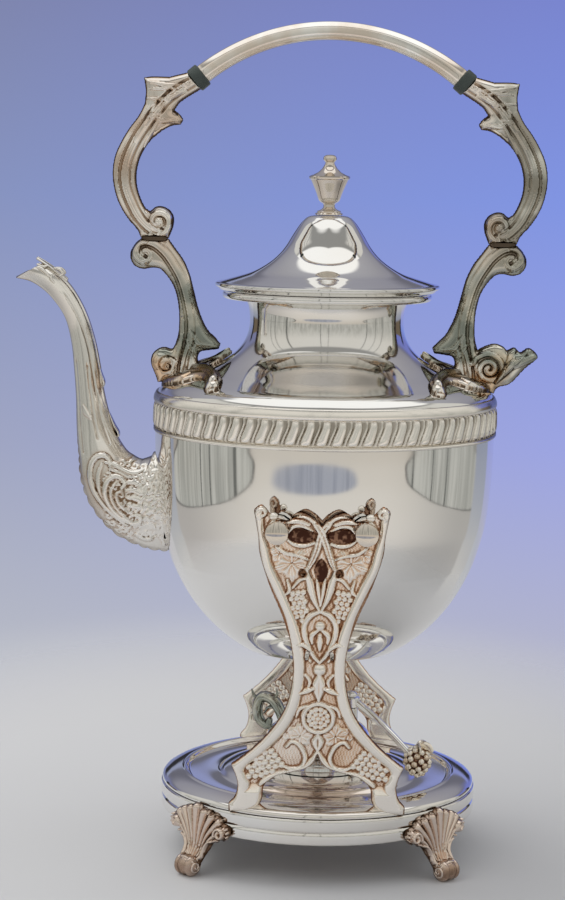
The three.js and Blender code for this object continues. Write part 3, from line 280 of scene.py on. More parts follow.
def inside(outline, x, y):
    """True for points inside a closed outline."""
    result = np.zeros(x.shape, bool)
    n = len(outline)
    for i in range(n):
        ax, ay = outline[i]
        bx, by = outline[(i + 1) % n]
        if ay == by:
            continue
        crosses = (ay > y) != (by > y)
        result ^= crosses & (x < (bx - ax) * (y - ay) / (by - ay) + ax)
    return result


def to_edge(outline, x, y):
    """Distance inwards from a closed outline, negative outside."""
    loop = np.vstack([outline, outline[:1]])
    d = distance_to(loop, x, y)
    return np.where(inside(outline, x, y), d, -d)


def ridge(distance, width):
    """Round ridge: 1 on its line, 0 at its width."""
    return np.sqrt(np.clip(1 - (distance / np.maximum(width, 1e-6)) ** 2, 0, 1))


def rounded(edge, reach):
    """Rises as a quarter round from 0 at the outline to 1 at its reach."""
    return np.sqrt(np.clip(1 - (1 - np.minimum(edge / reach, 1)) ** 2, 0, 1))


def notch(distance, width):
    """V-shaped cut: 1 on its line, 0 at its width."""
    return np.clip(1 - distance / width, 0, 1)


def stroke(x, y, points, widths, height, per=6, groove=0.0):
    """Height of a rounded ridge along a smooth line, with a width at each point. groove hollows its middle."""
    line = curve(np.column_stack([points, widths]), per)
    d, width = nearest(line, x, y, line[:, 2])
    up = ridge(d, width)
    if groove:
        up = up * (1 - groove * np.clip(1 - 2.2 * d / np.maximum(width, 1e-6), 0, 1))
    return height * up


def averaged(field):
    """Each value of a grid averaged with its four neighbours."""
    total = field
    for axis in (0, 1):
        for step in (1, -1):
            total = total + np.roll(field, step, axis)
    return total / 5


def casting(outline, holes, cell, height, tarnish_and_edge_shade=0.0):
    """Grid cut to an outline: a bmesh flat in XY with z = height(x, y), toned dark in hollows and low places.
    Its last argument sets how much shade is painted along its edge."""
    low, high = outline.min(0), outline.max(0)
    nx, ny = (int(math.ceil(s / cell)) + 2 for s in (high - low))
    xs = low[0] - cell + cell * np.arange(nx + 1)
    ys = low[1] - cell + cell * np.arange(ny + 1)
    gx, gy = np.meshgrid(xs, ys)
    edge = to_edge(outline, gx, gy)
    rims = [outline] + list(holes)
    for hole in holes:
        edge = np.minimum(edge, -to_edge(hole, gx, gy))
    keep = edge > -0.45 * cell
    x, y = gx.copy(), gy.copy()
    snap = np.abs(edge) < 0.62 * cell
    best = np.full(x.shape, 1e9)
    for rim in rims:
        loop = np.vstack([rim, rim[:1]])
        for a, b in zip(loop, loop[1:]):
            d = b - a
            t = np.clip(((gx - a[0]) * d[0] + (gy - a[1]) * d[1]) / (d.dot(d) + 1e-12), 0, 1)
            px, py = a[0] + t * d[0], a[1] + t * d[1]
            near = np.hypot(gx - px, gy - py)
            better = snap & (near < best)
            best[better] = near[better]
            x[better], y[better] = px[better], py[better]
    z = height(x, y, np.maximum(edge, 0))
    blur = z.copy()
    for _ in range(max(2, int(1.2 / cell))):
        blur = averaged(blur)
    cavity = 0.5 + (z - blur) * 1.6 + 0.09 * (z - 1.8)
    # Painted shade: a dark band along the outline, where the rounded casting turns away
    cavity = np.clip(cavity - tarnish_and_edge_shade * np.clip(1.25 - edge / 0.8, 0, 1), LOWEST_TONE, 1)
    bm = bmesh.new()
    layer = bm.verts.layers.float.new("cavity")
    made = bmesh.ops.create_grid(bm, x_segments=nx, y_segments=ny, size=0.5)["verts"]
    order = sorted(made, key=lambda v: (round(v.co.y, 6), round(v.co.x, 6)))
    cut = []
    for vert, px, py, pz, stay, depth in zip(order, x.flat, y.flat, z.flat, keep.flat, cavity.flat):
        vert.co = (px, py, pz)
        vert[layer] = depth
        if not stay:
            cut.append(vert)
    bmesh.ops.delete(bm, geom=cut, context="VERTS")
    thin = [f for f in bm.faces if f.calc_area() < 1e-5]
    bmesh.ops.delete(bm, geom=thin, context="FACES_ONLY")
    loose = [v for v in bm.verts if not v.link_faces]
    bmesh.ops.delete(bm, geom=loose, context="VERTS")
    return bm


def backed(bm, drop):
    """Closes a casting with a wall down to a flat back."""
    rim = [e for e in bm.edges if e.is_boundary]
    wall = bmesh.ops.extrude_edge_only(bm, edges=rim)["geom"]
    low = [g for g in wall if isinstance(g, bmesh.types.BMVert)]
    for vert in low:
        vert.co.z = drop
    bmesh.ops.triangle_fill(bm, edges=[e for e in bm.edges if e.is_boundary], use_beauty=False,
                            use_dissolve=False)
    return bm


def two_sided(bm, back=1.0):
    """Closes a casting with its own image on the other side of its plane. back scales the relief there."""
    rim = [e for e in bm.edges if e.is_boundary]
    wall = bmesh.ops.extrude_edge_only(bm, edges=rim)["geom"]
    for item in wall:
        if isinstance(item, bmesh.types.BMVert):
            item.co.z = 0
    both = bmesh.ops.duplicate(bm, geom=bm.verts[:] + bm.edges[:] + bm.faces[:])["geom"]
    for item in both:
        if isinstance(item, bmesh.types.BMVert):
            item.co.z *= -back
    bmesh.ops.remove_doubles(bm, verts=[v for v in bm.verts if abs(v.co.z) < 1e-6], dist=1e-4)


def carried(bm, to_place):
    """Moves every vertex from flat casting coordinates to its place."""
    for vert in bm.verts:
        vert.co = to_place(*vert.co)
    return bm


# Finishes

class Graph:
    """Short words for building a shader out of nodes."""

    def __init__(self, tree):
        self.tree = tree
        self.links = tree.links

    def add(self, kind, **values):
        node = self.tree.nodes.new(kind)
        for key, value in values.items():
            setattr(node, key, value)
        return node

    def put(self, socket, value):
        if isinstance(value, bpy.types.NodeSocket):
            self.links.new(value, socket)
        else:
            socket.default_value = value

    def math(self, operation, a, b=0.5):
        node = self.add("ShaderNodeMath", operation=operation)
        self.put(node.inputs[0], a)
        self.put(node.inputs[1], b)
        return node.outputs[0]

    def times(self, a, b):
        return self.math("MULTIPLY", a, b)

    def plus(self, a, b):
        return self.math("ADD", a, b)

    def minus(self, a, b):
        return self.math("SUBTRACT", a, b)

    def size(self, value):
        return self.math("ABSOLUTE", value)

    def xyz(self, vector):
        node = self.add("ShaderNodeSeparateXYZ")
        self.put(node.inputs[0], vector)
        return node.outputs

    def blend(self, share, a, b):
        node = self.add("ShaderNodeMix", data_type="RGBA")
        self.put(node.inputs[0], share)
        self.put(node.inputs[6], a if isinstance(a, bpy.types.NodeSocket) else (*a, 1))
        self.put(node.inputs[7], b if isinstance(b, bpy.types.NodeSocket) else (*b, 1))
        return node.outputs[2]

    def step(self, value, low, high, soft=True):
        shape = "SMOOTHSTEP" if soft else "LINEAR"
        node = self.add("ShaderNodeMapRange", clamp=True, interpolation_type=shape)
        self.put(node.inputs[0], value)
        self.put(node.inputs[1], low)
        self.put(node.inputs[2], high)
        return node.outputs[0]

    def noise(self, place, scale, detail=3.0, rough=0.55):
        node = self.add("ShaderNodeTexNoise")
        self.put(node.inputs["Vector"], place)
        self.put(node.inputs["Scale"], scale)
        self.put(node.inputs["Detail"], detail)
        self.put(node.inputs["Roughness"], rough)
        return node.outputs[0]

    def colours(self, value, stops):
        node = self.add("ShaderNodeValToRGB")
        ramp = node.color_ramp
        while len(ramp.elements) < len(stops):
            ramp.elements.new(0.5)
        for element, (place, colour) in zip(ramp.elements, stops):
            element.position = place
            element.color = (*colour, 1)
        self.put(node.inputs[0], value)
        return node.outputs[0]


def new_finish(name):
    material = bpy.data.materials.new(name)
    material.use_nodes = True
    tree = material.node_tree
    shader = tree.nodes["Principled BSDF"]
    graph = Graph(tree)
    place = graph.add("ShaderNodeTexCoord").outputs["Object"]
    return material, graph, shader, place


def polished_silver(name="polished silver", bright=(0.86, 0.85, 0.83), warmer=(0.80, 0.74, 0.66), brown_under_panels=False):
    """Bright metal, warm where it is faintly tarnished. The last argument adds brown patches on the tray under
    both panels.
    """
    material, g, shader, place = new_finish(name)
    g.put(shader.inputs["Metallic"], 1.0)
    haze = g.step(g.noise(place, 26.0, 3.0), 0.42, 0.66)
    warm = g.step(g.noise(place, 11.0, 4.0), 0.46, 0.70)
    colour = g.blend(g.times(warm, 0.45), bright, warmer)
    if brown_under_panels:
        x, y, _ = g.xyz(place)
        across = g.math("DIVIDE", g.minus(x, AXIS_X / 1000), 0.036)
        along = g.math("DIVIDE", g.minus(g.size(y), 0.044), 0.024)
        far = g.math("SQRT", g.plus(g.times(across, across), g.times(along, along)))
        tint = g.step(g.plus(far, g.times(warm, 0.25)), 1.3, 0.35)
        colour = g.blend(g.times(tint, 0.85), colour, (0.66, 0.50, 0.40))
    g.put(shader.inputs["Base Color"], colour)
    rough = g.plus(g.times(haze, 0.04), 0.045)
    g.put(shader.inputs["Roughness"], rough)
    return material


def cast_silver(name, bright, dull, deep, rough, spread):
    """Satin metal: bright where it stands proud, dull in the ground, deep in the lowest places. spread is how
    far patches shift the one into the other."""
    material, g, shader, place = new_finish(name)
    g.put(shader.inputs["Metallic"], 1.0)
    cavity = g.add("ShaderNodeAttribute", attribute_name="cavity").outputs["Fac"]
    patch = g.times(g.minus(g.noise(place, 90.0, 4.0), 0.5), spread)
    height = g.plus(cavity, patch)
    share = g.step(height, 0.28, 0.58)
    tarnish_and_edge_shade = g.step(g.noise(place, 28.0, 2.0), 0.40, 0.62)
    ground = g.blend(tarnish_and_edge_shade, dull, g.blend(0.5, dull, bright))
    colour = g.blend(share, ground, bright)
    colour = g.blend(g.step(height, 0.10, 0.36), deep, colour)
    # Painted shade fills the openings: nearly black, with a few painted warm glints
    painted_glints = g.blend(g.step(g.noise(place, 420.0, 2.0), 0.50, 0.66), (0.075, 0.03, 0.02), (0.36, 0.20, 0.13))
    colour = g.blend(g.step(cavity, LOWEST_TONE - 0.005, OPENING_SHADE_TONE + 0.005), colour, painted_glints)
    g.put(shader.inputs["Base Color"], colour)
    g.put(shader.inputs["Specular Tint"], (0.45, 0.43, 0.41, 1))
    g.put(shader.inputs["Roughness"], g.minus(rough + 0.16, g.times(share, 0.16)))
    return material


def handle_silver(name, bright, brown, all_dark=False):
    """Bright crests between brown hollows, darker and greyer on the right side. The lower half is nearly black,
    with a golden stain at the root. all_dark makes the whole piece nearly black."""
    material, g, shader, place = new_finish(name)
    g.put(shader.inputs["Metallic"], 1.0)
    x, _, z = g.xyz(place)
    cavity = g.add("ShaderNodeAttribute", attribute_name="cavity").outputs["Fac"]
    cloud = g.minus(g.noise(place, 48.0, 3.0), 0.5)
    height = g.plus(cavity, g.times(cloud, 0.3))
    clean = g.blend(g.step(cloud, -0.10, 0.14), bright, brown)
    clean = g.blend(g.step(height, 0.60, 0.42), clean, (0.50, 0.37, 0.27))
    if not all_dark:
        # The right side is made darker and greyer
        right = g.times(g.step(x, 0.080, 0.094), 0.62)
        dull = g.blend(g.step(cloud, -0.08, 0.05), (0.62, 0.62, 0.55), (0.22, 0.25, 0.22))
        clean = g.blend(right, clean, dull)
    dark = g.blend(g.step(cloud, -0.06, 0.14), (0.25, 0.28, 0.24), (0.86, 0.82, 0.70))
    low = 1.0
    if not all_dark:
        low = g.step(g.plus(z, g.times(cloud, 0.03)), 0.262, 0.225)
        low = g.times(low, g.step(z, 0.2025, 0.2065))
    body = g.blend(g.times(low, 0.88), clean, dark)
    if not all_dark:
        root = g.times(g.step(z, 0.213, 0.204), g.step(cloud, -0.02, 0.10))
        body = g.blend(g.times(root, 0.5), body, (0.82, 0.56, 0.33))
    deep = g.step(height, 0.46, 0.24)
    colour = g.blend(g.times(deep, 0.9), body, (0.10, 0.07, 0.05))
    g.put(shader.inputs["Base Color"], colour)
    g.put(shader.inputs["Specular Tint"], (0.3, 0.3, 0.3, 1))
    g.put(shader.inputs["Roughness"], g.plus(g.times(deep, 0.22), 0.09))
    return material


def insulator_fibre():
    material, g, shader, place = new_finish("insulator fibre")
    colour = g.blend(g.noise(place, 400.0), (0.030, 0.042, 0.040), (0.055, 0.070, 0.062))
    g.put(shader.inputs["Base Color"], colour)
    g.put(shader.inputs["Roughness"], 0.5)
    return material


def wick_cotton():
    material, g, shader, place = new_finish("wick cotton")
    g.put(shader.inputs["Base Color"], g.blend(g.noise(place, 900.0), (0.55, 0.50, 0.42), (0.75, 0.71, 0.62)))
    g.put(shader.inputs["Roughness"], 0.95)
    return material


FINISHES = {
    "polished_silver": polished_silver(),
    "tray": polished_silver("tray silver", brown_under_panels=True),
    "warm": polished_silver("warm silver", (0.80, 0.73, 0.65), (0.42, 0.31, 0.23)),
    "panel": cast_silver("cast panel", (1.0, 0.945, 0.87), (0.86, 0.60, 0.41), (0.33, 0.16, 0.085), 0.14, 0.5),
    "foot": cast_silver("cast foot", (0.80, 0.67, 0.58), (0.37, 0.235, 0.16), (0.09, 0.05, 0.03), 0.12, 0.6),
    "spout": cast_silver("spout silver", (0.90, 0.87, 0.82), (0.55, 0.41, 0.30), (0.24, 0.15, 0.09), 0.14, 0.32),
    "belt": cast_silver("gadrooned silver", (0.99, 0.945, 0.88), (0.52, 0.47, 0.40), (0.24, 0.21, 0.17),
                        0.18, 0.12),
    "handle": handle_silver("tarnished handle", (0.93, 0.89, 0.83), (0.68, 0.55, 0.45)),
    "grip": handle_silver("bright grip", (1.0, 0.98, 0.94), (0.86, 0.75, 0.65)),
    "knob": cast_silver("cast knob", (0.93, 0.86, 0.76), (0.66, 0.44, 0.25), (0.16, 0.12, 0.08), 0.13, 0.8),
    # The burner handle under the kettle is made nearly black all over
    "dark_handle": handle_silver("nearly black handle", (0.98, 0.95, 0.90), (0.80, 0.68, 0.58), all_dark=True),
    "insulator_fibre": insulator_fibre(),
    "wick_cotton": wick_cotton(),
}


# Kettle

# Radius and height of the bowl's wall above its rounded bottom
BOWL_WALL = [(67.0, 135), (67.95, 140), (68.6, 145), (69.1, 150), (69.47, 155), (69.76, 160), (69.97, 165),
             (70.13, 170), (70.2, 174.85)]


def bowl_bottom(z):
    drop = min(max((BOWL_WAIST - z) / BOWL_DEPTH, 0), 1)
    round_part = BOWL_RADIUS * (1 - drop ** BOWL_FULLNESS) ** (1 / BOWL_FULLNESS)
    return round_part - 0.35 * min(max((z - 104) / 26, 0), 1)


def bowl_radius(z):
    if z < 130:
        return bowl_bottom(z)
    return float(np.interp(z, [h for _, h in BOWL_WALL], [r for r, _ in BOWL_WALL]))


def make_bowl():
    low = [(29.2, 83.7)]
    for i in range(1, 22):
        angle = math.radians(66 * (1 - i / 21) + 25.5 * i / 21)
        z = BOWL_WAIST - BOWL_DEPTH * math.sin(angle) ** (2 / BOWL_FULLNESS)
        low.append((bowl_bottom(z), z))
    wall = curve(low + BOWL_WALL, 3)
    outer = [(0, 83.5), (15, 83.5), (27.5, 83.5)] + [tuple(q) for q in wall] + [(69.4, 174.88), (69.3, 181.5)]
    inner = [(max(r - WALL, 0) if r else 0, z + (WALL if z < 84 else 0.3)) for r, z in outer]
    inner[-1] = (68.1, 181.5)
    finished(lathe(outer + inner[::-1]), "bowl", "kettle", "kettle_bowl")


# Radius and height of the shoulder from its edge to the foot of the neck
SHOULDER = [(69.8, 187.5), (69.7, 189.2), (69.3, 190.7), (68.5, 192.0), (67.3, 193.2), (65.6, 194.4),
            (63.2, 195.5), (59.8, 196.7), (53.3, 199)]


def make_shoulder():
    dome = curve(SHOULDER, 8)
    neck = bezier(SHOULDER[-1], (44, 202.1), (31.8, 207.5), (31.7, 220.5), 30)
    mouth = bezier((31.7, 220.5), (31.7, 227.5), (33.6, 231.6), (39.2, 232.6), 14)
    outer = [(69.3, 181.8)] + [tuple(p) for p in np.vstack([dome, neck[1:], mouth[1:]])]
    inner = []
    for i, (r, z) in enumerate(outer):
        a, b = outer[max(i - 1, 0)], outer[min(i + 1, len(outer) - 1)]
        d = math.hypot(b[0] - a[0], b[1] - a[1])
        inner.append((r - (b[1] - a[1]) / d * WALL, z + (b[0] - a[0]) / d * WALL))
    inner[0] = (68.1, 181.8)
    inner[-1] = (38.0, 232.6)
    finished(lathe(outer + inner[::-1], closed=True), "shoulder", "kettle", "kettle_shoulder")


def lobe_lean(up):
    """How far a gadroon's middle line leans along the belt at a share of its height."""
    return 1.25 * np.sin(math.pi * (up - 0.42)) - 0.9 * np.clip(up - 0.72, 0, 1)


def belt_relief(along, up):
    """Height of the gadroons. along is in millimetres from a gadroon's middle line, up runs from 0 to 1."""
    pitch = 2 * math.pi * BELT_RADIUS / BELT_LOBES
    ends = np.sqrt(np.clip(1 - np.abs(2 * up - 1) ** 5, 0, 1))
    lobe_half = (2.35 - 0.85 * up) * (0.5 + 0.5 * ends)
    off = along - lobe_lean(up)
    off = (off + pitch / 2) % pitch - pitch / 2
    lobe = 1.3 * ends * ridge(off, lobe_half) * (1 - 0.15 * up)
    lobe = lobe - 0.3 * ends * notch(np.abs(off + 0.3 * lobe_half), 0.45) * (up > 0.25)
    side = (along - 1.15 * lobe_lean(up)) % pitch - 0.53 * pitch
    fillet = 0.7 * ends * ridge(side, 0.62 - 0.2 * up)
    return np.maximum(lobe, fillet)


def make_belt():
    """A band of slanted gadroons under a round moulding and over a wire."""
    low = [(69.2, 174.9), (70.6, 174.9), (70.9, 175.3), (70.95, 175.7), (70.5, 176.1), (70.55, 176.3),
           (70.9, 176.5)]
    top = [(70.5, 186.9), (70.75, 187.1), (70.95, 187.6), (71.0, 188.2), (70.95, 188.8), (70.75, 189.5),
           (70.45, 190.2), (70.1, 190.8), (69.85, 191.1)]
    field = [(69.95, z) for z in np.linspace(176.7, 186.8, 22)]
    line = np.array(low + field + top)
    columns = BELT_LOBES * 18
    angle = np.linspace(0, 2 * np.pi, columns + 1)
    up = np.clip((line[:, 1] - 176.75) / 10.0, 0, 1)[:, None]
    raised = belt_relief(angle[None, :] * BELT_RADIUS + 0 * up, up) * ((up > 0) & (up < 1))
    radius = line[:, 0:1] + raised
    places = np.stack([radius * np.cos(angle), radius * np.sin(angle), line[:, 1:2] + 0 * raised], axis=2)
    tones = np.clip(0.24 + 0.36 * raised, 0.02, 1)
    tones[(up[:, 0] <= 0) | (up[:, 0] >= 1)] = 0.72
    back = np.stack([68.75 * np.cos(angle), 68.75 * np.sin(angle), 174.9 + 0 * angle], axis=1)[None]
    lift = np.array([0, 0, 16.2])
    places = np.concatenate([back, places, back + lift, back], axis=0)
    edge_tone = np.full((1, columns + 1), 0.6)
    bm = bmesh.new()
    bm.verts.layers.float.new("cavity")
    sheet(bm, places, wrap=True, tones=np.concatenate([edge_tone, tones, edge_tone, edge_tone]))
    bmesh.ops.remove_doubles(bm, verts=bm.verts[:], dist=1e-3)
    finished(bm, "gadroons", "kettle", "gadroon_belt", finish="cast_silver", look="belt", crease=62)


def make_mouth_ring():
    line = [(32.4, 229.4), (40.8, 229.4), (42.3, 229.7), (43.0, 230.3), (43.2, 231.2), (43.0, 232.1),
            (42.4, 232.6), (39.6, 232.6)]
    line += [(37.6, 231.2), (34.8, 229.9)]
    finished(lathe(line, closed=True), "mouth ring", "kettle", "mouth_ring")


def make_lid():
    bell = curve([(44.9, 236.2), (40.5, 237.5), (36.1, 238.8), (31.2, 240.4), (26.6, 242.8), (22.6, 245.6),
                  (19.5, 248.6), (17.3, 251.5), (15.5, 254.5), (13.5, 257.7), (11.5, 260.6), (10.0, 262.2),
                  (9.0, 263.1)], 5)
    top = [(7.6, 263.7), (5.4, 264.05), (0, 264.1)]
    rim = [(0, 236.2), (20, 236.2), (31.7, 236.2), (31.7, 232.0), (32.2, 228.6), (32.6, 232.9), (41.5, 232.9),
           (43.6, 233.0), (44.6, 233.5), (45.0, 234.1), (45.5, 234.3), (46.1, 234.7), (46.3, 235.3),
           (46.1, 235.9), (45.6, 236.2)]
    finished(lathe(rim + [tuple(p) for p in bell] + top), "bell lid", "lid", "lid")


def make_finial():
    line = [(0, 264.2), (5.6, 264.2), (5.75, 264.6), (5.4, 265.0), (4.9, 265.1), (5.0, 265.5), (4.6, 265.9),
            (3.7, 266.2), (2.9, 266.7), (2.4, 267.4), (2.35, 268.4), (2.7, 269.0), (3.5, 269.4), (4.3, 270.1),
            (4.75, 271.2), (5.2, 272.6), (6.0, 274.6), (7.0, 276.9), (7.6, 278.2), (7.7, 278.5), (8.4, 278.9),
            (8.5, 279.5), (8.2, 280.0), (6.6, 280.6), (4.7, 281.6), (3.2, 283.0), (2.2, 284.6), (1.9, 285.6),
            (2.3, 286.2), (2.75, 286.7), (2.8, 287.4), (2.5, 288.1), (1.5, 288.6), (0, 288.75)]
    finished(lathe(line, 96), "urn finial", "lid", "finial", look="warm", crease=30)


# The spout's middle line in X and Z, its half width in the plane of the handle and its half width across
SPOUT_ROWS = [
    (-60.2, 144.5, 21, 14), (-70.2, 144.97, 20.6, 13.8), (-78.02, 146.6, 18.4, 13),
    (-85.02, 151.01, 15, 11.8), (-90.02, 157.8, 11.9, 10.2), (-92.9, 164.96, 9.4, 8.8),
    (-95.19, 173.24, 7.9, 7.6), (-97.4, 187.47, 6.1, 6.3), (-98.78, 199.46, 5.6, 5.8),
    (-100.78, 211.46, 5, 5.3), (-104.3, 222.34, 4.6, 5), (-110.18, 231.18, 4.8, 5.2),
    (-115.5, 235.9, 4.7, 5.4), (-121.5, 239.0, 4.5, 5.4), (-129.6, 240.6, 4.4, 4.6),
]

# Scrolls on the sides of the spout: points in X and Z, widths, height
ROCAILLE = [
    ([(-81, 135.2), (-86.5, 139.3), (-91.3, 144), (-94.9, 149), (-96.6, 154.5), (-96.2, 160), (-93.8, 163.3),
      (-90.6, 163.9), (-88.3, 161.8), (-88.2, 159.6)], [0.5, 0.9, 1.1, 1.2, 1.2, 1.1, 1.1, 1.1, 0.9, 0.6], 1.0),
    ([(-78.3, 135.3), (-82.4, 137.6), (-86.6, 141.1), (-89.2, 145.2), (-90.2, 149.3), (-89, 153.5),
      (-86.1, 155.7), (-83.2, 154.9), (-81.9, 152.6), (-83, 150.9)],
     [0.5, 0.9, 1.1, 1.2, 1.2, 1.1, 1.1, 1.0, 0.9, 0.7], 1.1),
    ([(-80.6, 138.2), (-84.8, 141.7), (-87.2, 145.8), (-87.6, 149.6), (-86.1, 152.4)],
     [0.5, 0.8, 0.9, 0.8, 0.5], 0.8),
    ([(-79.2, 140.6), (-82.6, 142.6), (-84.8, 145.6), (-85, 148.6), (-83.6, 149.6)],
     [0.4, 0.7, 0.8, 0.7, 0.5], 0.7),
    ([(-91.4, 160.6), (-92.8, 157), (-93, 152.3), (-91.5, 147), (-88.3, 142.3)], [0.5, 0.8, 0.9, 0.8, 0.5], 0.7),
    ([(-90, 161.2), (-86.7, 160.6), (-82.6, 158.4), (-77.9, 157.3), (-74.4, 158.7)],
     [0.5, 1.0, 1.1, 1.1, 0.6], 0.9),
    ([(-88, 158.4), (-84, 157.2), (-80.4, 155.7), (-77, 155.6)], [0.5, 0.8, 0.8, 0.5], 0.7),
    ([(-81.4, 153.4), (-78, 153.4), (-75.2, 152.2)], [0.5, 1.1, 0.9], 0.8),
    ([(-80.8, 150.3), (-77.8, 150.3), (-74.9, 149.1)], [0.5, 1.1, 0.9], 0.8),
    ([(-80.4, 147.1), (-77.4, 147), (-75, 146.3)], [0.5, 1.1, 0.9], 0.8),
    ([(-80.2, 144.1), (-77.6, 143.6), (-75.4, 143.6)], [0.5, 1.0, 0.8], 0.8),
    ([(-73.4, 156.6), (-71.6, 155), (-69.7, 156.3)], [0.6, 1.0, 0.6], 0.8),
    ([(-72.8, 152.8), (-70.8, 152), (-70.6, 150), (-72.4, 149)], [0.6, 0.9, 0.9, 0.5], 0.8),
    ([(-72, 147.4), (-70, 147.6), (-69, 146.2), (-70.7, 144.8)], [0.5, 0.9, 0.9, 0.5], 0.7),
    ([(-72.8, 140.6), (-70.7, 142), (-69.3, 143.8)], [0.5, 0.9, 0.5], 0.7),
    ([(-71.6, 143.6), (-70.7, 142), (-68.1, 140.2)], [0.5, 0.9, 0.5], 0.7),
    ([(-82.4, 138.8), (-78.9, 136.3), (-75.3, 136.9), (-75.6, 139.4), (-77.6, 139.9)],
     [0.6, 1.0, 1.0, 0.9, 0.6], 0.9),
    ([(-77.4, 131.4), (-74, 129.4), (-71.1, 129.6), (-70.8, 131.6)], [0.6, 1.0, 0.9, 0.6], 0.9),
    ([(-67.4, 131.3), (-65.4, 128.4), (-65.6, 126.4)], [0.5, 1.0, 0.6], 0.8),
    ([(-80, 161.4), (-77, 163.4), (-73.3, 164.2), (-70.6, 162.8)], [0.6, 1.1, 1.1, 0.6], 0.9),
    ([(-99.9, 184), (-98.9, 181.4), (-96.9, 179.3)], [0.4, 1.1, 0.5], 0.6),
    ([(-93.8, 190), (-91.9, 183), (-88.6, 174), (-84.8, 168)], [0.5, 0.9, 0.9, 0.5], 0.5),
]
# Fine lines that run down the neck
SPOUT_LINES = [
    [(-108, 229.7), (-103.1, 221.6), (-98.9, 210.9), (-96.5, 199.4), (-94.8, 189.5), (-92.5, 178.5),
     (-88.9, 168.6)],
    [(-103.3, 202.6), (-102.2, 189.4), (-101.2, 176.1), (-99.8, 164.5)],
    [(-98.3, 201), (-97.2, 190), (-95.6, 180), (-93.4, 170.5)],
]


def spout_relief(x, z):
    """Height of the scrolls on the spout's side, with the fine lines cut into its neck."""
    up = np.zeros(x.shape)
    for points, widths, height in ROCAILLE:
        up = np.maximum(up, stroke(x, z, points, widths, height, per=5))
    for line in SPOUT_LINES:
        up = up - 0.45 * notch(distance_to(curve(line, 5), x, z), 0.7)
    # Small curls fill the ground between the scrolls
    chance = np.random.default_rng(7)
    for row in range(11):
        for column in range(9):
            cx = -93 + 3.1 * column + 1.5 * (row % 2) + chance.uniform(-0.5, 0.5)
            cz = 129 + 3.1 * row + chance.uniform(-0.5, 0.5)
            start, turns = chance.uniform(0, 360), 0.8 * (1 if chance.random() < 0.5 else -1)
            if math.hypot((cx + 78) / 15, (cz - 146) / 17) > 1:
                continue
            curl = spiral(cx, cz, start, turns, 1.5, 0.4, 10)
            near = (np.abs(x - cx) < 3) & (np.abs(z - cz) < 3)
            if near.any():
                up[near] = np.maximum(up[near], 0.5 * ridge(distance_to(curl, x[near], z[near]), 0.5))
    return up


def spout_leaves(bm):
    """The leaf that stands on the lip, its side scrolls, and the curled tips along the back of the neck."""
    blade = curve([(-107.6, 0, 235.4, 1.5, 0.7), (-110.6, 0, 238.0, 2.3, 0.8), (-114.4, 0, 240.9, 2.9, 0.75),
                   (-117.6, 0, 242.9, 2.5, 0.7), (-119.9, 0, 244.2, 1.2, 0.6)], 6)
    tube(bm, blade[:, :3], blade[:, [4, 3]], sides=18)
    rib = blade[:, :3] + np.array([0.25, 0, 0.45])
    tube(bm, rib, np.linspace(0.5, 0.35, len(rib)), sides=8)
    for side in (-1, 1):
        for points, wide in (
            ([(-112.6, 2.2, 240.4), (-110.2, 3.2, 239.9), (-108.9, 3.4, 238.3), (-110.3, 3.3, 237.3)], 0.65),
            ([(-114.2, 4.6, 236.9), (-116.4, 4.6, 239.2), (-119.0, 3.9, 240.6), (-121.0, 3.6, 239.2),
              (-119.8, 4.6, 237.9), (-117.8, 4.9, 237.7)], 0.7),
            ([(-115.2, 2.4, 241.4), (-117.2, 3.4, 240.9), (-119.6, 2.9, 241.9)], 0.6),
            ([(-112.2, 5.2, 234.6), (-113.6, 5.2, 236.4), (-113.1, 4.7, 238.0)], 0.5),
        ):
            line = curve([(x, side * y, z) for x, y, z in points], 6)
            tube(bm, line, wide * np.sin(np.linspace(0.5, 2.7, len(line))) ** 0.6, sides=10)
    for points, wide in (
        ([(-94.6, 0, 203), (-93.1, 0, 197), (-91.9, 0, 193.4), (-92.3, 0, 191.2)], 2.2),
        ([(-89.6, 0, 181), (-87.4, 0, 175.6), (-85.6, 0, 172.2), (-86.1, 0, 170.2)], 3.0),
    ):
        line = curve(points, 6)
        swell = np.sin(np.linspace(0.35, 2.8, len(line)))
        tube(bm, line, np.column_stack([0.7 * swell, wide * swell]), sides=14)


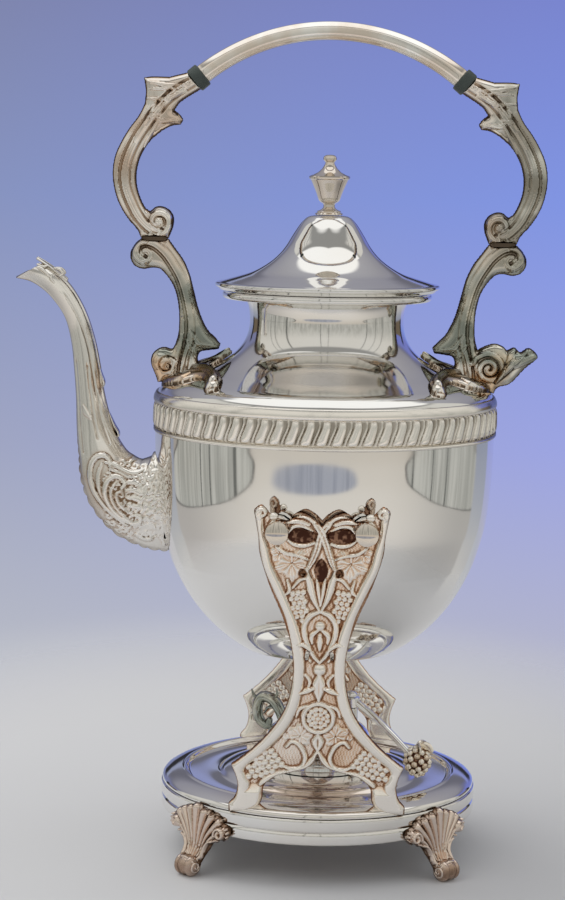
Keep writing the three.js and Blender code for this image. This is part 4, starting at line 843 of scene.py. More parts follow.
def make_spout():
    path = curve(SPOUT_ROWS, 40)[14:]
    length = np.concatenate([[0], np.cumsum(np.linalg.norm(np.diff(path[:, :2], axis=0), axis=1))])
    fine, coarse = ((0.45, 1.0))
    bulb_end = 62.0
    stops = np.concatenate([np.arange(0, bulb_end, fine), np.arange(bulb_end, length[-1], coarse), length[-1:]])
    centre = np.column_stack([np.interp(stops, length, path[:, k]) for k in range(4)])
    ahead = np.gradient(centre[:, :2], axis=0)
    ahead /= np.linalg.norm(ahead, axis=1)[:, None]
    around = np.linspace(0, 2 * np.pi, 169)
    c, s = np.cos(around)[None, :], np.sin(around)[None, :]
    neck = np.clip((centre[:, 1:2] - 158) / 16, 0, 1)
    low_rim = np.exp(-(((around + np.pi) % (2 * np.pi) - np.pi) / 0.16) ** 2)[None, :]
    scallops = 0.9 * low_rim * np.abs(np.sin(stops * 0.95))[:, None] ** 0.7 * (1 - neck)
    in_plane = centre[:, 2:3] * c + scallops
    x = centre[:, 0:1] - ahead[:, 1:2] * in_plane
    z = centre[:, 1:2] + ahead[:, 0:1] * in_plane
    lens = np.abs(s) * (1 - 0.42 * neck) + 0.42 * neck * (1 - np.abs(c))
    y = centre[:, 3:4] * np.sign(s) * lens
    relief = spout_relief(x, z)
    facing = np.clip(np.abs(s) * 2.4, 0, 1)
    places = np.stack([x, y + np.sign(s) * relief * facing, z], axis=2)
    pads = relief.copy()
    for _ in range(5):
        pads = averaged(pads)
    tones = np.clip(0.66 - 0.2 * (1 - neck) * np.clip((-74 - x) / 6, 0, 1) + (relief - pads) * (1.2 + neck),
                    0.02, 1)
    notches = low_rim * (1 - neck) * (np.abs(np.sin(stops * 0.95))[:, None] < 0.45)
    tint = np.exp(-((x + 85) / 6) ** 2 - ((z - 147) / 8) ** 2) + np.clip((-112 - x) / 10, 0, 1)
    # Painted shade: the neck is darkened along its two edges in the plane of the handle, where it turns away
    neck_edge_shade = np.clip((np.abs(c) - 0.93) / 0.05, 0, 1) * neck
    tones = np.clip(tones - 0.4 * notches - 0.16 * tint - 0.3 * neck_edge_shade, LOWEST_TONE, 1)
    bm = bmesh.new()
    bm.verts.layers.float.new("cavity")
    sheet(bm, places, wrap=True, tones=tones)
    lip = [v for v in bm.verts if v.co.x < -116 and v.co.z > 220]
    faces = {f for v in lip for f in v.link_faces}
    edges = {e for f in faces for e in f.edges}
    verts = {v for f in faces for v in f.verts}
    slope = math.radians(30)
    bmesh.ops.bisect_plane(bm, geom=list(verts) + list(edges) + list(faces), dist=1e-4,
                           plane_co=(-129, 0, 235.7), plane_no=(-math.sin(slope), 0, math.cos(slope)),
                           clear_outer=True)
    within = [v for v in bm.verts if math.hypot(v.co.x, v.co.y) < bowl_radius(v.co.z) - 0.8]
    bmesh.ops.delete(bm, geom=within, context="VERTS")
    bmesh.ops.recalc_face_normals(bm, faces=bm.faces[:])
    bmesh.ops.solidify(bm, geom=bm.faces[:], thickness=0.8)
    spout_leaves(bm)
    finished(bm, "swan spout", "kettle", "spout", finish="cast_silver", look="spout", crease=50)


# Handle. Places are named from the arm's upper end, the widest reach, the joint and the footing.

def end(dx, dz):
    return 56.16 + dx, 317.23 + dz


def reach(dx, dz):
    return 89 - dx, 253.5 + dz


def joint(dx, dz):
    return 71.5 + dx, 253.5 + dz


def footing(dx, dz):
    return 62 + dx, 200 + dz


def runs_outline(runs, per=5):
    """Closed outline from smooth runs. A run of one point is a straight edge."""
    points = [np.array(runs[0][0], float)]
    for index, run in enumerate(runs):
        rest = run[1:] if index == 0 else run
        line = [tuple(points[-1])] + list(rest)
        if len(line) == 2:
            points.append(np.array(line[1], float))
        elif len(line) > 2:
            points.extend(curve(line, per)[1:])
    outline = np.array(points)
    if np.linalg.norm(outline[0] - outline[-1]) < 1e-6:
        outline = outline[:-1]
    keep = np.linalg.norm(outline - np.roll(outline, 1, 0), axis=1) > 0.02
    return outline[keep]


ARM_OUTLINE = [
    [(58.2, 321.13), end(10.1, 1.8)],
    [end(17.5, 1.8), end(20.4, 1.4)],
    [end(19.6, -4), end(20, -9.2)],
    [reach(10.4, 49.7), reach(6.6, 44.5), reach(3.4, 39.1), reach(1, 33.5), reach(0, 27.5), reach(0.4, 21.5),
     reach(2.4, 14.5), joint(11.3, 8), joint(6.9, 2.8), joint(5.7, 0)],
    [joint(-5.8, 0)],
    [joint(-7.7, 5.3), joint(-7.5, 9.5), joint(-4.6, 12.5), joint(-0.7, 12.9), joint(2, 10.9)],
    [joint(4, 12.4), reach(10.8, 18.1), reach(9.7, 24), reach(10.3, 29.7), reach(12.2, 34.9), reach(15.5, 39.7),
     end(12.8, -20)],
    [end(8.6, -17.9), end(5.2, -17.4)],
    [end(4.1, -15.4)],
    [end(5.6, -13.2), end(7.8, -11.6)],
    [end(5.4, -8.4), (52.4, 314.78)],
]

ARM_SPINE = [end(-1, 1), end(9.5, -6), reach(14.5, 47.5), reach(8.2, 37.6), reach(5.2, 29), reach(5.2, 21.5),
             reach(7.6, 14.5), joint(6.3, 8), joint(1.6, 3.6), joint(-2.6, 1.8), joint(-6, 4.6), joint(-6, 9),
             joint(-2.8, 11), joint(0, 9.4), joint(-0.4, 6.8), joint(-2.6, 6.6)]


def shifted(points, distance):
    """The same line moved sideways."""
    line = curve(points, 4)[:, :2]
    along = np.gradient(line, axis=0)
    along /= np.linalg.norm(along, axis=1)[:, None] + 1e-9
    return line + distance * np.column_stack([-along[:, 1], along[:, 0]])


def upright(x, z, out):
    return x, -out, z


def scroll_body(x, z, edge, spine, flank, crest, grooved, grooves):
    """A thick scroll: flanks that rise from its outline, a crest along its spine, grooves beside that. flank and
    crest are a height and a width, grooves are offset, depth and width."""
    up = flank[0] * rounded(edge, flank[1]) + 0.25
    body = distance_to(curve(spine, 6), x, z)
    up = np.maximum(up, crest[0] * ridge(body, crest[1]) * np.clip(edge / 1.2, 0, 1) ** 0.5)
    for offset, depth, wide in grooves:
        up = up - depth * ridge(distance_to(shifted(grooved, offset), x, z), wide)
    return up


def arm_height(x, z, edge):
    up = scroll_body(x, z, edge, ARM_SPINE, (3.5, 3.8), (4.3, 4.2), ARM_SPINE[:10],
                     ((1.8, 0.9, 0.75), (-2.2, 0.6, 0.6), (0.2, 0.35, 0.5)))
    spiral_line = spiral(*joint(-1.6, 6.6), -60, -1.35, 6.0, 1.2)
    up = up + 0.75 * ridge(distance_to(spiral_line, x, z), 1.05)
    up = up + 0.9 * ridge(np.hypot(x - joint(-2, 7)[0], z - joint(-2, 7)[1]), 1.7)
    leaves = [
        ([end(2, -1), end(9, -2), end(19, 0)], [0.7, 1.1, 0.3]),
        ([end(3, -4), end(11, -7), end(19, -7)], [0.6, 1.0, 0.3]),
        ([end(17, -14), end(13, -16), end(6, -16)], [1.2, 1.1, 0.4]),
        ([end(15, -8), end(19, -16), reach(9, 39)], [0.5, 0.8, 0.3]),
        ([end(12, -9), end(15, -17), reach(13, 37)], [0.5, 0.8, 0.3]),
        ([end(6, -3), end(14, -3), end(18, -3.5)], [0.4, 0.7, 0.2]),
    ]
    for points, widths in leaves:
        up = up + stroke(x, z, points, widths, 0.55, per=4)
    return up


def make_arm(name, node, turn):
    bm = casting(runs_outline(ARM_OUTLINE), [], 0.3, arm_height, 0.7)
    two_sided(bm)
    carried(bm, upright)
    # The soldered joint under the arm shows as a black band
    band = bmesh.ops.create_cone(bm, cap_ends=True, segments=48, radius1=1, radius2=1, depth=1.6)["verts"]
    bmesh.ops.scale(bm, vec=(5.5, 3.7, 1), verts=band)
    bmesh.ops.translate(bm, vec=(joint(0, 0)[0], 0, joint(0, -0.2)[1]), verts=band)
    set_tone(bm, band, 0.04)
    finished(bm, name, "kettle", node, finish="cast_silver", look="handle", turn=turn, crease=60)


BALL_CURL = [footing(1.8, 8), footing(4.6, 8.6), footing(7.2, 8.1), footing(9.8, 5.7), footing(10.4, 2.6),
             footing(9.3, -1.3), footing(8.2, -3.8), footing(7.5, -6)]
SPIRAL_CURL = [footing(3.6, 11.7), footing(7.6, 12.7), footing(11.2, 11.4), footing(12.6, 10.1),
               footing(15.7, 11.2), footing(18, 9.3), footing(21.5, 11.2), footing(25.2, 7.6),
               footing(20, 2.6), footing(13.9, -3.9), footing(9, -5.5), footing(7.5, -8)]

LEG_SPINE = [joint(4.2, -8.8), joint(6.8, -6.4), joint(6, -2.8), joint(1.6, -2.2), joint(-3.5, -5.5),
             joint(-8, -11.5), joint(-11.4, -18), footing(-4.6, 25.5), footing(-5.6, 18.6), footing(-5, 11),
             footing(-3, 3), footing(-2, -6)]


def leg_outline(curl):
    return runs_outline([
        [joint(5.7, -0.3), joint(8, -2.5), joint(9.9, -6.2), joint(9.5, -9.5), joint(7.7, -11.8),
         joint(4.4, -12.8), joint(0.5, -12.2), joint(-2.5, -12.7), joint(-5.5, -15.7), joint(-8.2, -20),
         joint(-9.6, -24.5), footing(-0.9, 24), footing(-1.1, 18.6), footing(-0.7, 14), footing(0.4, 10)],
        curl,
        [footing(-11, -4)],
        [footing(-12, 1.2)],
        [footing(-9.4, 2.6), footing(-8.9, 4.6), footing(-10, 6.9), footing(-13, 7.6), footing(-17.5, 8.2)],
        [footing(-18.3, 10.4)],
        [footing(-16, 13), footing(-13, 16), footing(-10.8, 20), footing(-9, 24.5), joint(-16, -19.5),
         joint(-14.5, -14.2), joint(-11.9, -8.6), joint(-8.2, -3.6), joint(-5.8, -0.3)],
    ])


def leg_height(curled):
    def height(x, z, edge):
        up = scroll_body(x, z, edge, LEG_SPINE, (3.3, 3.6), (4.2, 4.0), LEG_SPINE,
                         ((1.4, 1.1, 0.8), (-2.3, 0.3, 0.5)))
        top = spiral(*joint(3.9, -6.6), 100, -1.3, 5.4, 0.9)
        up = up + 0.7 * ridge(distance_to(top, x, z), 0.95)
        if curled:
            turn = spiral(*footing(5.2, 2.4), 165, -2.1, 7.2, 0.8, 60)
            up = up + 1.5 * ridge(distance_to(turn, x, z), 1.15)
            for tip in ((14.6, 10.6), (19.6, 10.2), (24.2, 7.8)):
                up = up + stroke(x, z, [footing(8, -3), footing(13, 3), footing(*tip)], [0.6, 1.7, 1.6], 1.3,
                                 per=4)
        else:
            far = np.hypot(x - footing(5.6, 2.6)[0], z - footing(5.6, 2.6)[1])
            up = np.maximum(up, 5.0 * ridge(far, 5.0))
            cup = spiral(*footing(3.8, 1.2), 150, -1.1, 4.6, 1.0, 40)
            up = up - 0.9 * notch(distance_to(cup, x, z), 0.6)
        flutes = ((-6, 16), (-10, 10), (-17, 9.4)), ((-4, 12), (-9, 5), (-11, 0)), ((-2, 14), (-1, 6), (2, -2))
        for flute in flutes:
            up = up + stroke(x, z, [footing(*place) for place in flute], [0.5, 1.2, 0.5], 0.6, per=4)
        return up
    return height


def shoulder_height(radius):
    """Height of the shoulder's surface at a radius."""
    line = SHOULDER + [(46, 202), (40, 206), (36, 209.4)]
    radii = [r for r, _ in line][::-1]
    return float(np.interp(radius, radii, [z for _, z in line][::-1]))


# Half of the root leaf as it lies on the shoulder: distance from the axis, distance to the side
ROOT_LEAF = [(38.6, 0), (41.2, 1.4), (45.0, 2.6), (47.6, 5.4), (47.4, 11), (45.4, 18), (43.4, 25), (41.8, 31),
             (41.0, 38), (41.8, 44), (44.0, 47.4), (46.8, 46.6), (48.2, 42.4), (48.2, 36), (48.8, 30),
             (50.4, 25.4), (52.8, 22.6), (55.8, 21.8), (58.8, 21.4), (61.4, 19.4), (63.8, 16.2), (65.8, 12.4),
             (67.2, 7.4), (67.8, 3), (68.0, 0)]


def root_leaf():
    """The leaf under the leg: one blade up the shoulder, one curled arm on each side, a wavy edge outside."""
    half = curve(ROOT_LEAF, 4)
    outline = np.vstack([half, (half * [1, -1])[::-1][1:-1]])

    def height(x, y, edge):
        side = np.abs(y)
        up = 2.2 * rounded(edge, 2.6)
        up = up + stroke(x, side, [(54, 5), (50.4, 14), (47.2, 24), (44.8, 34), (44.6, 43)],
                         [2.0, 1.8, 1.5, 1.5, 1.7], 1.6)
        up = up + 1.5 * ridge(np.hypot(x - 44.6, side - 43.6), 2.8)
        up = up + stroke(x, y, [(57, 0), (50, 0), (44, 0), (40.4, 0)], [2.2, 1.8, 1.4, 0.9], 1.5)
        up = up + stroke(x, side, [(67, 2), (66, 9), (62.6, 15.6), (59, 19.6), (55.4, 18.4)],
                         [1.0, 1.2, 1.3, 1.2, 0.8], 0.8)
        for line in ([(60, 4), (55.6, 11), (51, 20)], [(63, 5), (60.6, 12), (58, 17)]):
            up = up - 0.8 * ridge(distance_to(curve(line, 5), x, side), 0.8)
        return up

    bm = backed(casting(outline, [], 0.42, height), -0.5)
    return carried(bm, lambda x, y, up: (x, y, shoulder_height(math.hypot(x, y)) + up))


def make_leg(name, node, curled, turn):
    curl = SPIRAL_CURL if curled else BALL_CURL
    bm = casting(leg_outline(curl), [], 0.3, leg_height(curled), 0.7)
    two_sided(bm)
    carried(bm, upright)
    add_shape(bm, root_leaf())
    finished(bm, name, "kettle", node, finish="cast_silver", look="handle", turn=turn, crease=60)


def arc_place(angle):
    """Place on the grip's middle line at an angle from its top."""
    a = math.radians(angle)
    return GRIP_RADIUS * math.sin(a), 0.0, GRIP_CENTRE + GRIP_RADIUS * math.cos(a)


def make_grip():
    def facets(a):
        part = ((a + math.pi / 8) % (math.pi / 4)) - math.pi / 8
        return 0.25 + 0.75 * math.cos(math.pi / 8) / math.cos(part)

    bm = bmesh.new()
    bm.verts.layers.float.new("cavity")
    path = np.array([arc_place(a) for a in np.linspace(-38.2, 38.2, 90)])
    size = 3.95 + 0.25 * np.abs(np.linspace(-1, 1, 90)) ** 3
    tube(bm, path, np.column_stack([size, size * 0.97]), sides=48, section=facets)
    set_tone(bm, bm.verts, 0.72)
    finished(bm, "grip", "kettle", "handle_grip", finish="cast_silver", look="grip")


def make_insulator(name, node, angle):
    line = [(0, -2.3), (4.6, -2.3), (5.0, -2.05), (5.1, -1.7), (5.1, 1.7), (5.0, 2.05), (4.6, 2.3), (0, 2.3)]
    bm = lathe(line, 56)
    turn = Matrix.Translation(arc_place(angle)) @ Matrix.Rotation(math.radians(90 + angle), 4, "Y")
    bmesh.ops.transform(bm, matrix=turn, verts=bm.verts[:])
    finished(bm, name, "kettle", node, finish="insulator_fibre", crease=30)


# Cast panels

LEAN = math.atan2(PIN_REACH - PANEL_FOOT_OUT, PIN_HEIGHT - PANEL_BOTTOM)

PANEL_HALF = [
    [(0, 118.3), (3.5, 121.4), (7.7, 122.8), (11.4, 121.2), (13.9, 119.7), (17.6, 120.6), (20.6, 124),
     (23.4, 126.6), (26.1, 124.6), (25.5, 120)],
    [(24.5, 114), (24, 107.5), (20, 94.3), (14.2, 80.2), (10.6, 67), (10.5, 56), (13.6, 43), (21.9, 31),
     (30, 23.4), (34.2, 20.2)],
    [(32.2, 15.4), (31.5, 11), (32.6, 6.6), (35.1, 3.5)],
    [(35.1, 0)],
    [(27.5, 0)],
    [(23.2, 2.6), (21.7, 6), (21.1, 10.8), (16.8, 15.5), (10, 17.6), (3.8, 19.6), (1.3, 21.8), (0, 25.2)],
]


def panel_outline():
    right = runs_outline(PANEL_HALF, 6)
    left = mirror(right)[::-1]
    outline = np.vstack([right, left[1:-1]])
    outline[:, 1] += PANEL_BOTTOM
    return outline


def oval(cx, cy, rx, ry, count=28, square=1.0):
    a = np.linspace(0, 2 * np.pi, count, endpoint=False)
    c, s = np.cos(a), np.sin(a)
    return np.column_stack([cx + rx * np.sign(c) * np.abs(c) ** square,
                            cy + ry * np.sign(s) * np.abs(s) ** square])


# The broad scroll along the panel's right edge: its middle line and its widths
PANEL_BORDER = [(24.2, 152), (23.7, 143.3), (22.4, 138), (20.7, 130.6), (17.3, 123), (13.9, 115.2), (11.4, 109),
                (9.2, 100.6), (8.4, 92.9), (8.3, 83.3), (9.8, 75.8), (12.6, 68.7), (17.0, 62.4), (23.5, 55.4),
                (30.4, 48.9), (31.9, 45.2), (29.4, 39.6), (30.2, 35.5), (32.4, 30.5)]
BORDER_WIDE = [1.8, 1.6, 1.8, 1.9, 2.0, 1.9, 2.0, 2.4, 2.9, 2.6, 2.9, 3.1, 3.5, 3.3, 3.1, 3.2, 3.0, 3.0, 2.8]


def grape_bunch(x, y, spots, radius, lift):
    up = np.zeros(x.shape)
    for sx, sy in spots:
        d = np.hypot(x - sx, y - sy)
        ball = np.sqrt(np.clip(radius ** 2 - d ** 2, 0, None)) * 0.95
        up = np.maximum(up, np.where(d < radius, lift + ball, 0))
    return up


def bunch_spots(x0, y0, x1, y1, wide, pitch):
    """Places of grapes in a bunch that hangs from one point to another and narrows."""
    length = math.hypot(x1 - x0, y1 - y0)
    ux, uy = (x1 - x0) / length, (y1 - y0) / length
    spots = []
    rows = int(length / (pitch * 0.87)) + 1
    for r in range(rows):
        t = r / max(rows - 1, 1)
        across = wide * math.sqrt(max(1 - t ** 2.2, 0.02))
        count = max(1, int(round(2 * across / pitch)))
        for k in range(count):
            off = (k - (count - 1) / 2) * pitch + (0.2 * pitch if r % 2 else -0.2 * pitch)
            spots.append((x0 + ux * t * length - uy * off, y0 + uy * t * length + ux * off))
    return spots


def vine_leaf(x, y, cx, cy, size, point, height):
    """A five-lobed leaf with raised veins. point is the direction of its middle lobe, in degrees."""
    angle = np.arctan2(y - cy, x - cx) - math.radians(point)
    far = np.hypot(x - cx, y - cy) / size
    lobes = 0.62 + 0.30 * np.abs(np.cos(2.5 * angle)) ** 0.8 + 0.08 * np.abs(np.cos(10 * angle))
    back = np.clip(np.cos(angle + math.pi) - 0.55, 0, 1)
    lobes = lobes * (1 - 0.55 * back)
    body = np.clip(1 - far / lobes, 0, 1)
    up = height * np.minimum(1, (body * 3.2)) ** 0.55 * (0.75 + 0.25 * np.cos(5 * angle) ** 2)
    for k in range(-2, 3):
        a = math.radians(point + 72 * k)
        tip = (cx + 0.8 * size * math.cos(a), cy + 0.8 * size * math.sin(a))
        d = distance_to([(cx, cy), tip], x, y)
        up = up - 0.42 * notch(d, 0.33) * (body > 0)
    return np.where(body > 0, up, 0)


def panel_height(x, y, edge):
    right = np.abs(x)
    base = 0.55 + 0.12 * np.sin(5.1 * x + 2 * np.sin(3.3 * y)) * np.sin(4.7 * y)
    up = base * np.clip(edge / 0.5, 0, 1)
    parts = []

    def add(points, widths, height, per=6, groove=0.0):
        parts.append(stroke(right, y, points, widths, height, per, groove))

    add(PANEL_BORDER, BORDER_WIDE, 3.1)
    horn = spiral(23.3, 151.6, -75, 1.25, 2.2, 0.9, 24)
    parts.append(3.4 * ridge(distance_to(horn, right, y), 0.85))
    add([(20.6, 144.6), (18.6, 147.8), (15.6, 148.9), (12.6, 150.6), (8.3, 151.4), (4.6, 150.2), (2.2, 147.6)],
        [1.2, 1.5, 1.5, 1.7, 1.8, 1.7, 1.4], 2.9, groove=0.35)
    add([(13.2, 147.9), (9, 148.2), (5, 147)], [0.8, 1.0, 0.7], 2.2)
    parts.append(stroke(x, y, [(-2.2, 147.8), (0.6, 142.8), (2.4, 137.4), (3.9, 132.6), (5.2, 129.6)],
                        [1.8, 1.8, 1.6, 1.4, 0.9], 3.6, groove=0.4))
    parts.append(stroke(x, y, [(2.4, 147.6), (-0.4, 143.2), (-1.6, 138), (-3.2, 133.4), (-5.0, 129.8)],
                        [1.8, 1.7, 1.6, 1.4, 0.9], 3.0, groove=0.4))
    for points, widths, height in (
        ([(13.4, 142.6), (11.2, 146.0), (7.6, 146.5), (3.8, 144.6)], [0.7, 0.9, 0.9, 0.6], 2.2),
        ([(2.8, 139.8), (6.5, 138.5), (10.8, 139.0), (13.4, 141.0)], [0.6, 0.8, 0.8, 0.5], 1.9),
        ([(17.5, 138), (14, 135.5), (9, 134.6), (5, 133)], [0.6, 0.9, 0.8, 0.4], 1.9),
        ([(10.9, 121.7), (8, 124.9), (5.4, 125.5), (4.4, 124)], [0.6, 0.8, 0.8, 0.6], 2.0),
        ([(13.0, 124.6), (12.2, 120.4), (14.0, 118.6)], [0.6, 0.9, 0.4], 2.2),
        ([(5.7, 129.2), (4.4, 123.8), (2.7, 117.6), (0.2, 112.2)], [0.9, 1.7, 1.5, 0.5], 2.7),
        ([(1.6, 125.2), (0.9, 120.5), (0, 114.5)], [0.6, 1.0, 0.5], 2.4),
        ([(7.6, 118.6), (6.0, 113.4), (6.6, 109.8)], [0.5, 0.8, 0.5], 1.8),
        ([(0, 112.4), (3.6, 110.6), (6.0, 107), (5.9, 102), (4.2, 97.6), (2.0, 93.6), (0, 91.4)],
         [1.0, 1.3, 1.4, 1.3, 1.2, 1.0, 0.8], 2.6),
        ([(1.0, 104.5), (3.2, 102.2), (3.0, 99.2)], [0.8, 1.2, 0.6], 2.2),
        ([(0, 102.5), (0.3, 99.0), (0, 96.2)], [0.9, 1.1, 0.5], 2.3),
        ([(3.6, 96.6), (6.6, 98.8), (9.4, 98.4)], [0.7, 1.1, 0.4], 3.5),
        ([(3.4, 91.6), (5.2, 93.9), (5.0, 96.0)], [0.5, 0.8, 0.5], 1.9),
        ([(2.2, 80.8), (4.6, 79.8), (7.8, 78.6)], [0.8, 1.4, 0.5], 3.4),
        ([(0, 86.4), (0.9, 81.5), (0, 75.4)], [1.0, 1.9, 0.6], 2.6),
        ([(5.6, 86.4), (3.6, 83.4), (4.4, 80.4)], [0.5, 0.9, 0.5], 1.9),
        ([(4.2, 73.6), (7.6, 71.8), (8.6, 68.6)], [0.5, 0.9, 0.5], 2.0),
        ([(12.4, 56.2), (10.2, 58.4), (7.2, 56.8), (4.9, 51.6), (6.4, 47.9), (10.4, 46.8), (13.4, 48)],
         [0.7, 1.0, 1.1, 1.1, 1.0, 1.0, 0.6], 2.3),
        ([(22.4, 40.4), (20.2, 42.2), (17.2, 44), (11.2, 45.4), (5.4, 47.6), (2.2, 50.6), (0.4, 53.8)],
         [1.1, 1.4, 1.4, 1.4, 1.4, 1.3, 1.0], 2.7),
        ([(0, 61.4), (1.2, 58.4), (0, 54.8)], [0.8, 1.4, 0.8], 2.4),
    ):
        add(points, widths, height, per=5)
    parts.append(3.0 * ridge(np.hypot(x - 0.2, y - 88.4), 2.8))
    parts.append(2.6 * ridge(np.hypot(x, y - 106.2), 2.2))
    around = np.abs(np.hypot(x, y - 68.4) - 5.9)
    parts.append(2.5 * ridge(around, 1.15))
    inner_ring = [polar(1.9, a) for a in range(0, 360, 60)]
    outer_ring = [polar(3.7, a) for a in range(15, 375, 30)]
    berries = [(bx, by + 68.4) for bx, by in [(0, 0)] + inner_ring + outer_ring]
    parts.append(grape_bunch(x, y, berries, 1.15, 1.2))
    for leaf in ((11.4, 131.6, 8.2, 268, 1.5), (16.2, 135.2, 4.6, 310, 1.3), (7.0, 60.8, 6.4, 95, 1.6),
                 (12.2, 62.0, 4.2, 150, 1.3)):
        parts.append(vine_leaf(right, y, *leaf))
    for bunch, radius, lift in (((9.2, 119.4, 7.4, 108.4, 3.6, 2.1), 1.15, 1.1),
                                ((16.6, 51.6, 27.4, 43.6, 5.2, 2.35), 1.3, 1.1),
                                ((21.5, 48.6, 25.8, 51.2, 2.6, 2.35), 1.25, 1.0)):
        parts.append(grape_bunch(right, y, bunch_spots(*bunch), radius, lift))
    for part in parts:
        up = np.maximum(up, part)
    feet = np.clip((41 - y) / 4, 0, 1) * np.clip((right - 20) / 3, 0, 1)
    smooth = 3.2 * rounded(edge, 2.6)
    up = np.maximum(up, feet * smooth)
    return up * np.clip(edge / 0.9 + 0.25, 0, 1) ** 0.5


def make_panel(name, node, turn):
    holes = [oval(side * 7.7, 142.5, 5.3, 2.45) for side in (-1, 1)]
    holes += [oval(side * 7.1, 127.7, 1.4, 1.4, 14) for side in (-1, 1)]
    holes.append(oval(0, 128.9, 2.5, 4.2, 28, 1.35))
    holes += [oval(side * 4.9, 93.9, 0.8, 1.9, 14) for side in (-1, 1)]
    bm = casting(panel_outline(), holes, 0.37, panel_height, 0.35)
    two_sided(bm, 0.42)
    # The back of the head, which only the bowl sees, is darker towards its top
    layer = bm.verts.layers.float["cavity"]
    for vert in bm.verts:
        if vert.co.z < -0.05:
            vert[layer] *= 1 - 0.65 * min(max((vert.co.y - 100) / 20, 0), 1)

    def to_place(x, height, out):
        along = (height - PANEL_BOTTOM) / math.cos(LEAN)
        out = 0.8 * out - 0.4
        y = PANEL_FOOT_OUT + along * math.sin(LEAN) + out * math.cos(LEAN)
        z = PANEL_BOTTOM + along * math.cos(LEAN) - out * math.sin(LEAN)
        return x, -y, z

    carried(bm, to_place)
    for side in (-1, 1):
        set_tone(bm, lump(bm, to_place(side * 18.7, 150.2, 1.4), (1.9, 1.6, 1.6), 3), 0.8)
        # Painted shade: dark red-brown lumps fill the two ovals and the diamond from behind
        set_tone(bm, lump(bm, to_place(side * 7.7, 142.3, -0.2), (5.9, 0.45, 3.0), 3), OPENING_SHADE_TONE)
    set_tone(bm, lump(bm, to_place(0, 128.9, -0.2), (3.1, 0.45, 4.8), 3), OPENING_SHADE_TONE)
    finished(bm, name, "stand", node, finish="cast_silver", look="panel", turn=turn, crease=70)


# Stand

def make_tray():
    swell = [(65.4, 28.1), (65.5, 28.9), (65.0, 29.7), (63.9, 30.5), (61.6, 31.4), (59.2, 32.0), (57.4, 32.2),
             (56.9, 32.25), (56.6, 32.5), (56.0, 32.7), (55.4, 32.5), (55.1, 32.0), (54.7, 31.2),
             (54.2, 30.7), (53.4, 30.6)]
    top = [(47, 30.6), (42.4, 30.6), (41.7, 30.75), (41.1, 31.2), (40.4, 31.9), (39.4, 32.5), (37.9, 33.0),
           (36.2, 33.4), (34, 33.6), (20, 33.6), (0, 33.6)]
    under = [(0, 32.1), (34, 32.1), (39, 30.8), (41.4, 29.1), (54, 29.1), (56.4, 30.6), (60, 30.2),
             (63.2, 29), (63.9, 28.1)]
    finished(lathe(swell + top + under, closed=True), "tray", "stand", "base_tray", look="tray", crease=48)


def make_rim():
    line = [(63.7, 17.0), (64.3, 17.0), (65.2, 17.2), (65.75, 17.6), (65.9, 18.2), (65.9, 21.3),
            (65.75, 21.9), (65.35, 22.4), (65.75, 22.9), (65.9, 23.5), (65.9, 26.9), (65.8, 27.4),
            (65.4, 27.7), (64.6, 27.8), (63.7, 27.8)]
    finished(lathe(line, closed=True), "rim", "stand", "base_rim", crease=48)


def make_seat_ring():
    line = [(20.35, 33.9), (22.55, 33.9), (22.55, 37.0), (22.4, 37.5), (22.0, 37.8), (21.4, 37.9), (20.35, 37.9)]
    finished(lathe(line, closed=True), "seat ring", "stand", "burner_seat_ring", crease=48)


def foot_outline():
    half = [(0, 28.8), (2.2, 28.5), (3.6, 27.4), (4.6, 26.6), (6.2, 27.0), (8.2, 26.4), (9.4, 25.2),
            (11.2, 25.4), (13.4, 24.4), (14.6, 22.9), (16.6, 22.5), (18.3, 21.2), (18.6, 19.4), (17.8, 17.2),
            (15.6, 15.6), (13.2, 15.6), (11.8, 14.4), (9.8, 14.0), (8.4, 12.4), (6.9, 9.8), (5.9, 7.4),
            (5.2, 5.2)]
    right = curve(half, 3)
    left = mirror(right)[::-1]
    return np.vstack([right, [(4.5, 2.6)], [(-4.5, 2.6)], left[:-1]])


FOOT_TIPS = [(0, 28.0), (4.6, 26.6), (9.2, 25.4), (13.2, 23.6), (16.4, 20.8)]


def foot_height(x, z, edge):
    """Flutes that fan out of the ankle, a scroll with a row of pearls at each side."""
    right = np.abs(x)
    up = 1.5 * rounded(edge, 1.8)
    for k, (tx, tz) in enumerate(FOOT_TIPS):
        points = [(0.25 * tx, 6.5), (0.30 * tx, 12.0), (0.58 * tx, 12.0 + 0.5 * (tz - 12.0)),
                  (0.96 * tx, tz - 1.0)]
        up = np.maximum(up, stroke(right, z, points, [0.7, 0.8, 1.3, 2.0], 3.4 - 0.15 * k))
        if k:
            px, pz = FOOT_TIPS[k - 1]
            mx, mz = (tx + px) / 2, (tz + pz) / 2
            fine = [(0.27 * mx, 8), (0.34 * mx, 12.4), (0.6 * mx, 12.4 + 0.5 * (mz - 12.4)),
                    (0.9 * mx, mz - 1.6)]
            up = up - 0.9 * notch(distance_to(curve(fine, 5), right, z), 0.5)
    scroll = spiral(14.0, 18.4, 200, -1.2, 2.7, 0.9, 30)
    up = np.maximum(up, 4.0 * ridge(distance_to(scroll, right, z), 1.0))
    for angle in range(-130, 40, 24):
        px, pz = polar(3.9, angle)
        up = np.maximum(up, 3.4 * ridge(np.hypot(right - 14.0 - px, z - 18.4 - pz), 0.78))
    up = np.maximum(up, stroke(right, z, [(9.4, 14.6), (7.2, 13.6), (5.6, 11), (5.2, 7.6)],
                               [0.7, 0.9, 0.9, 0.7], 3.4))
    return up


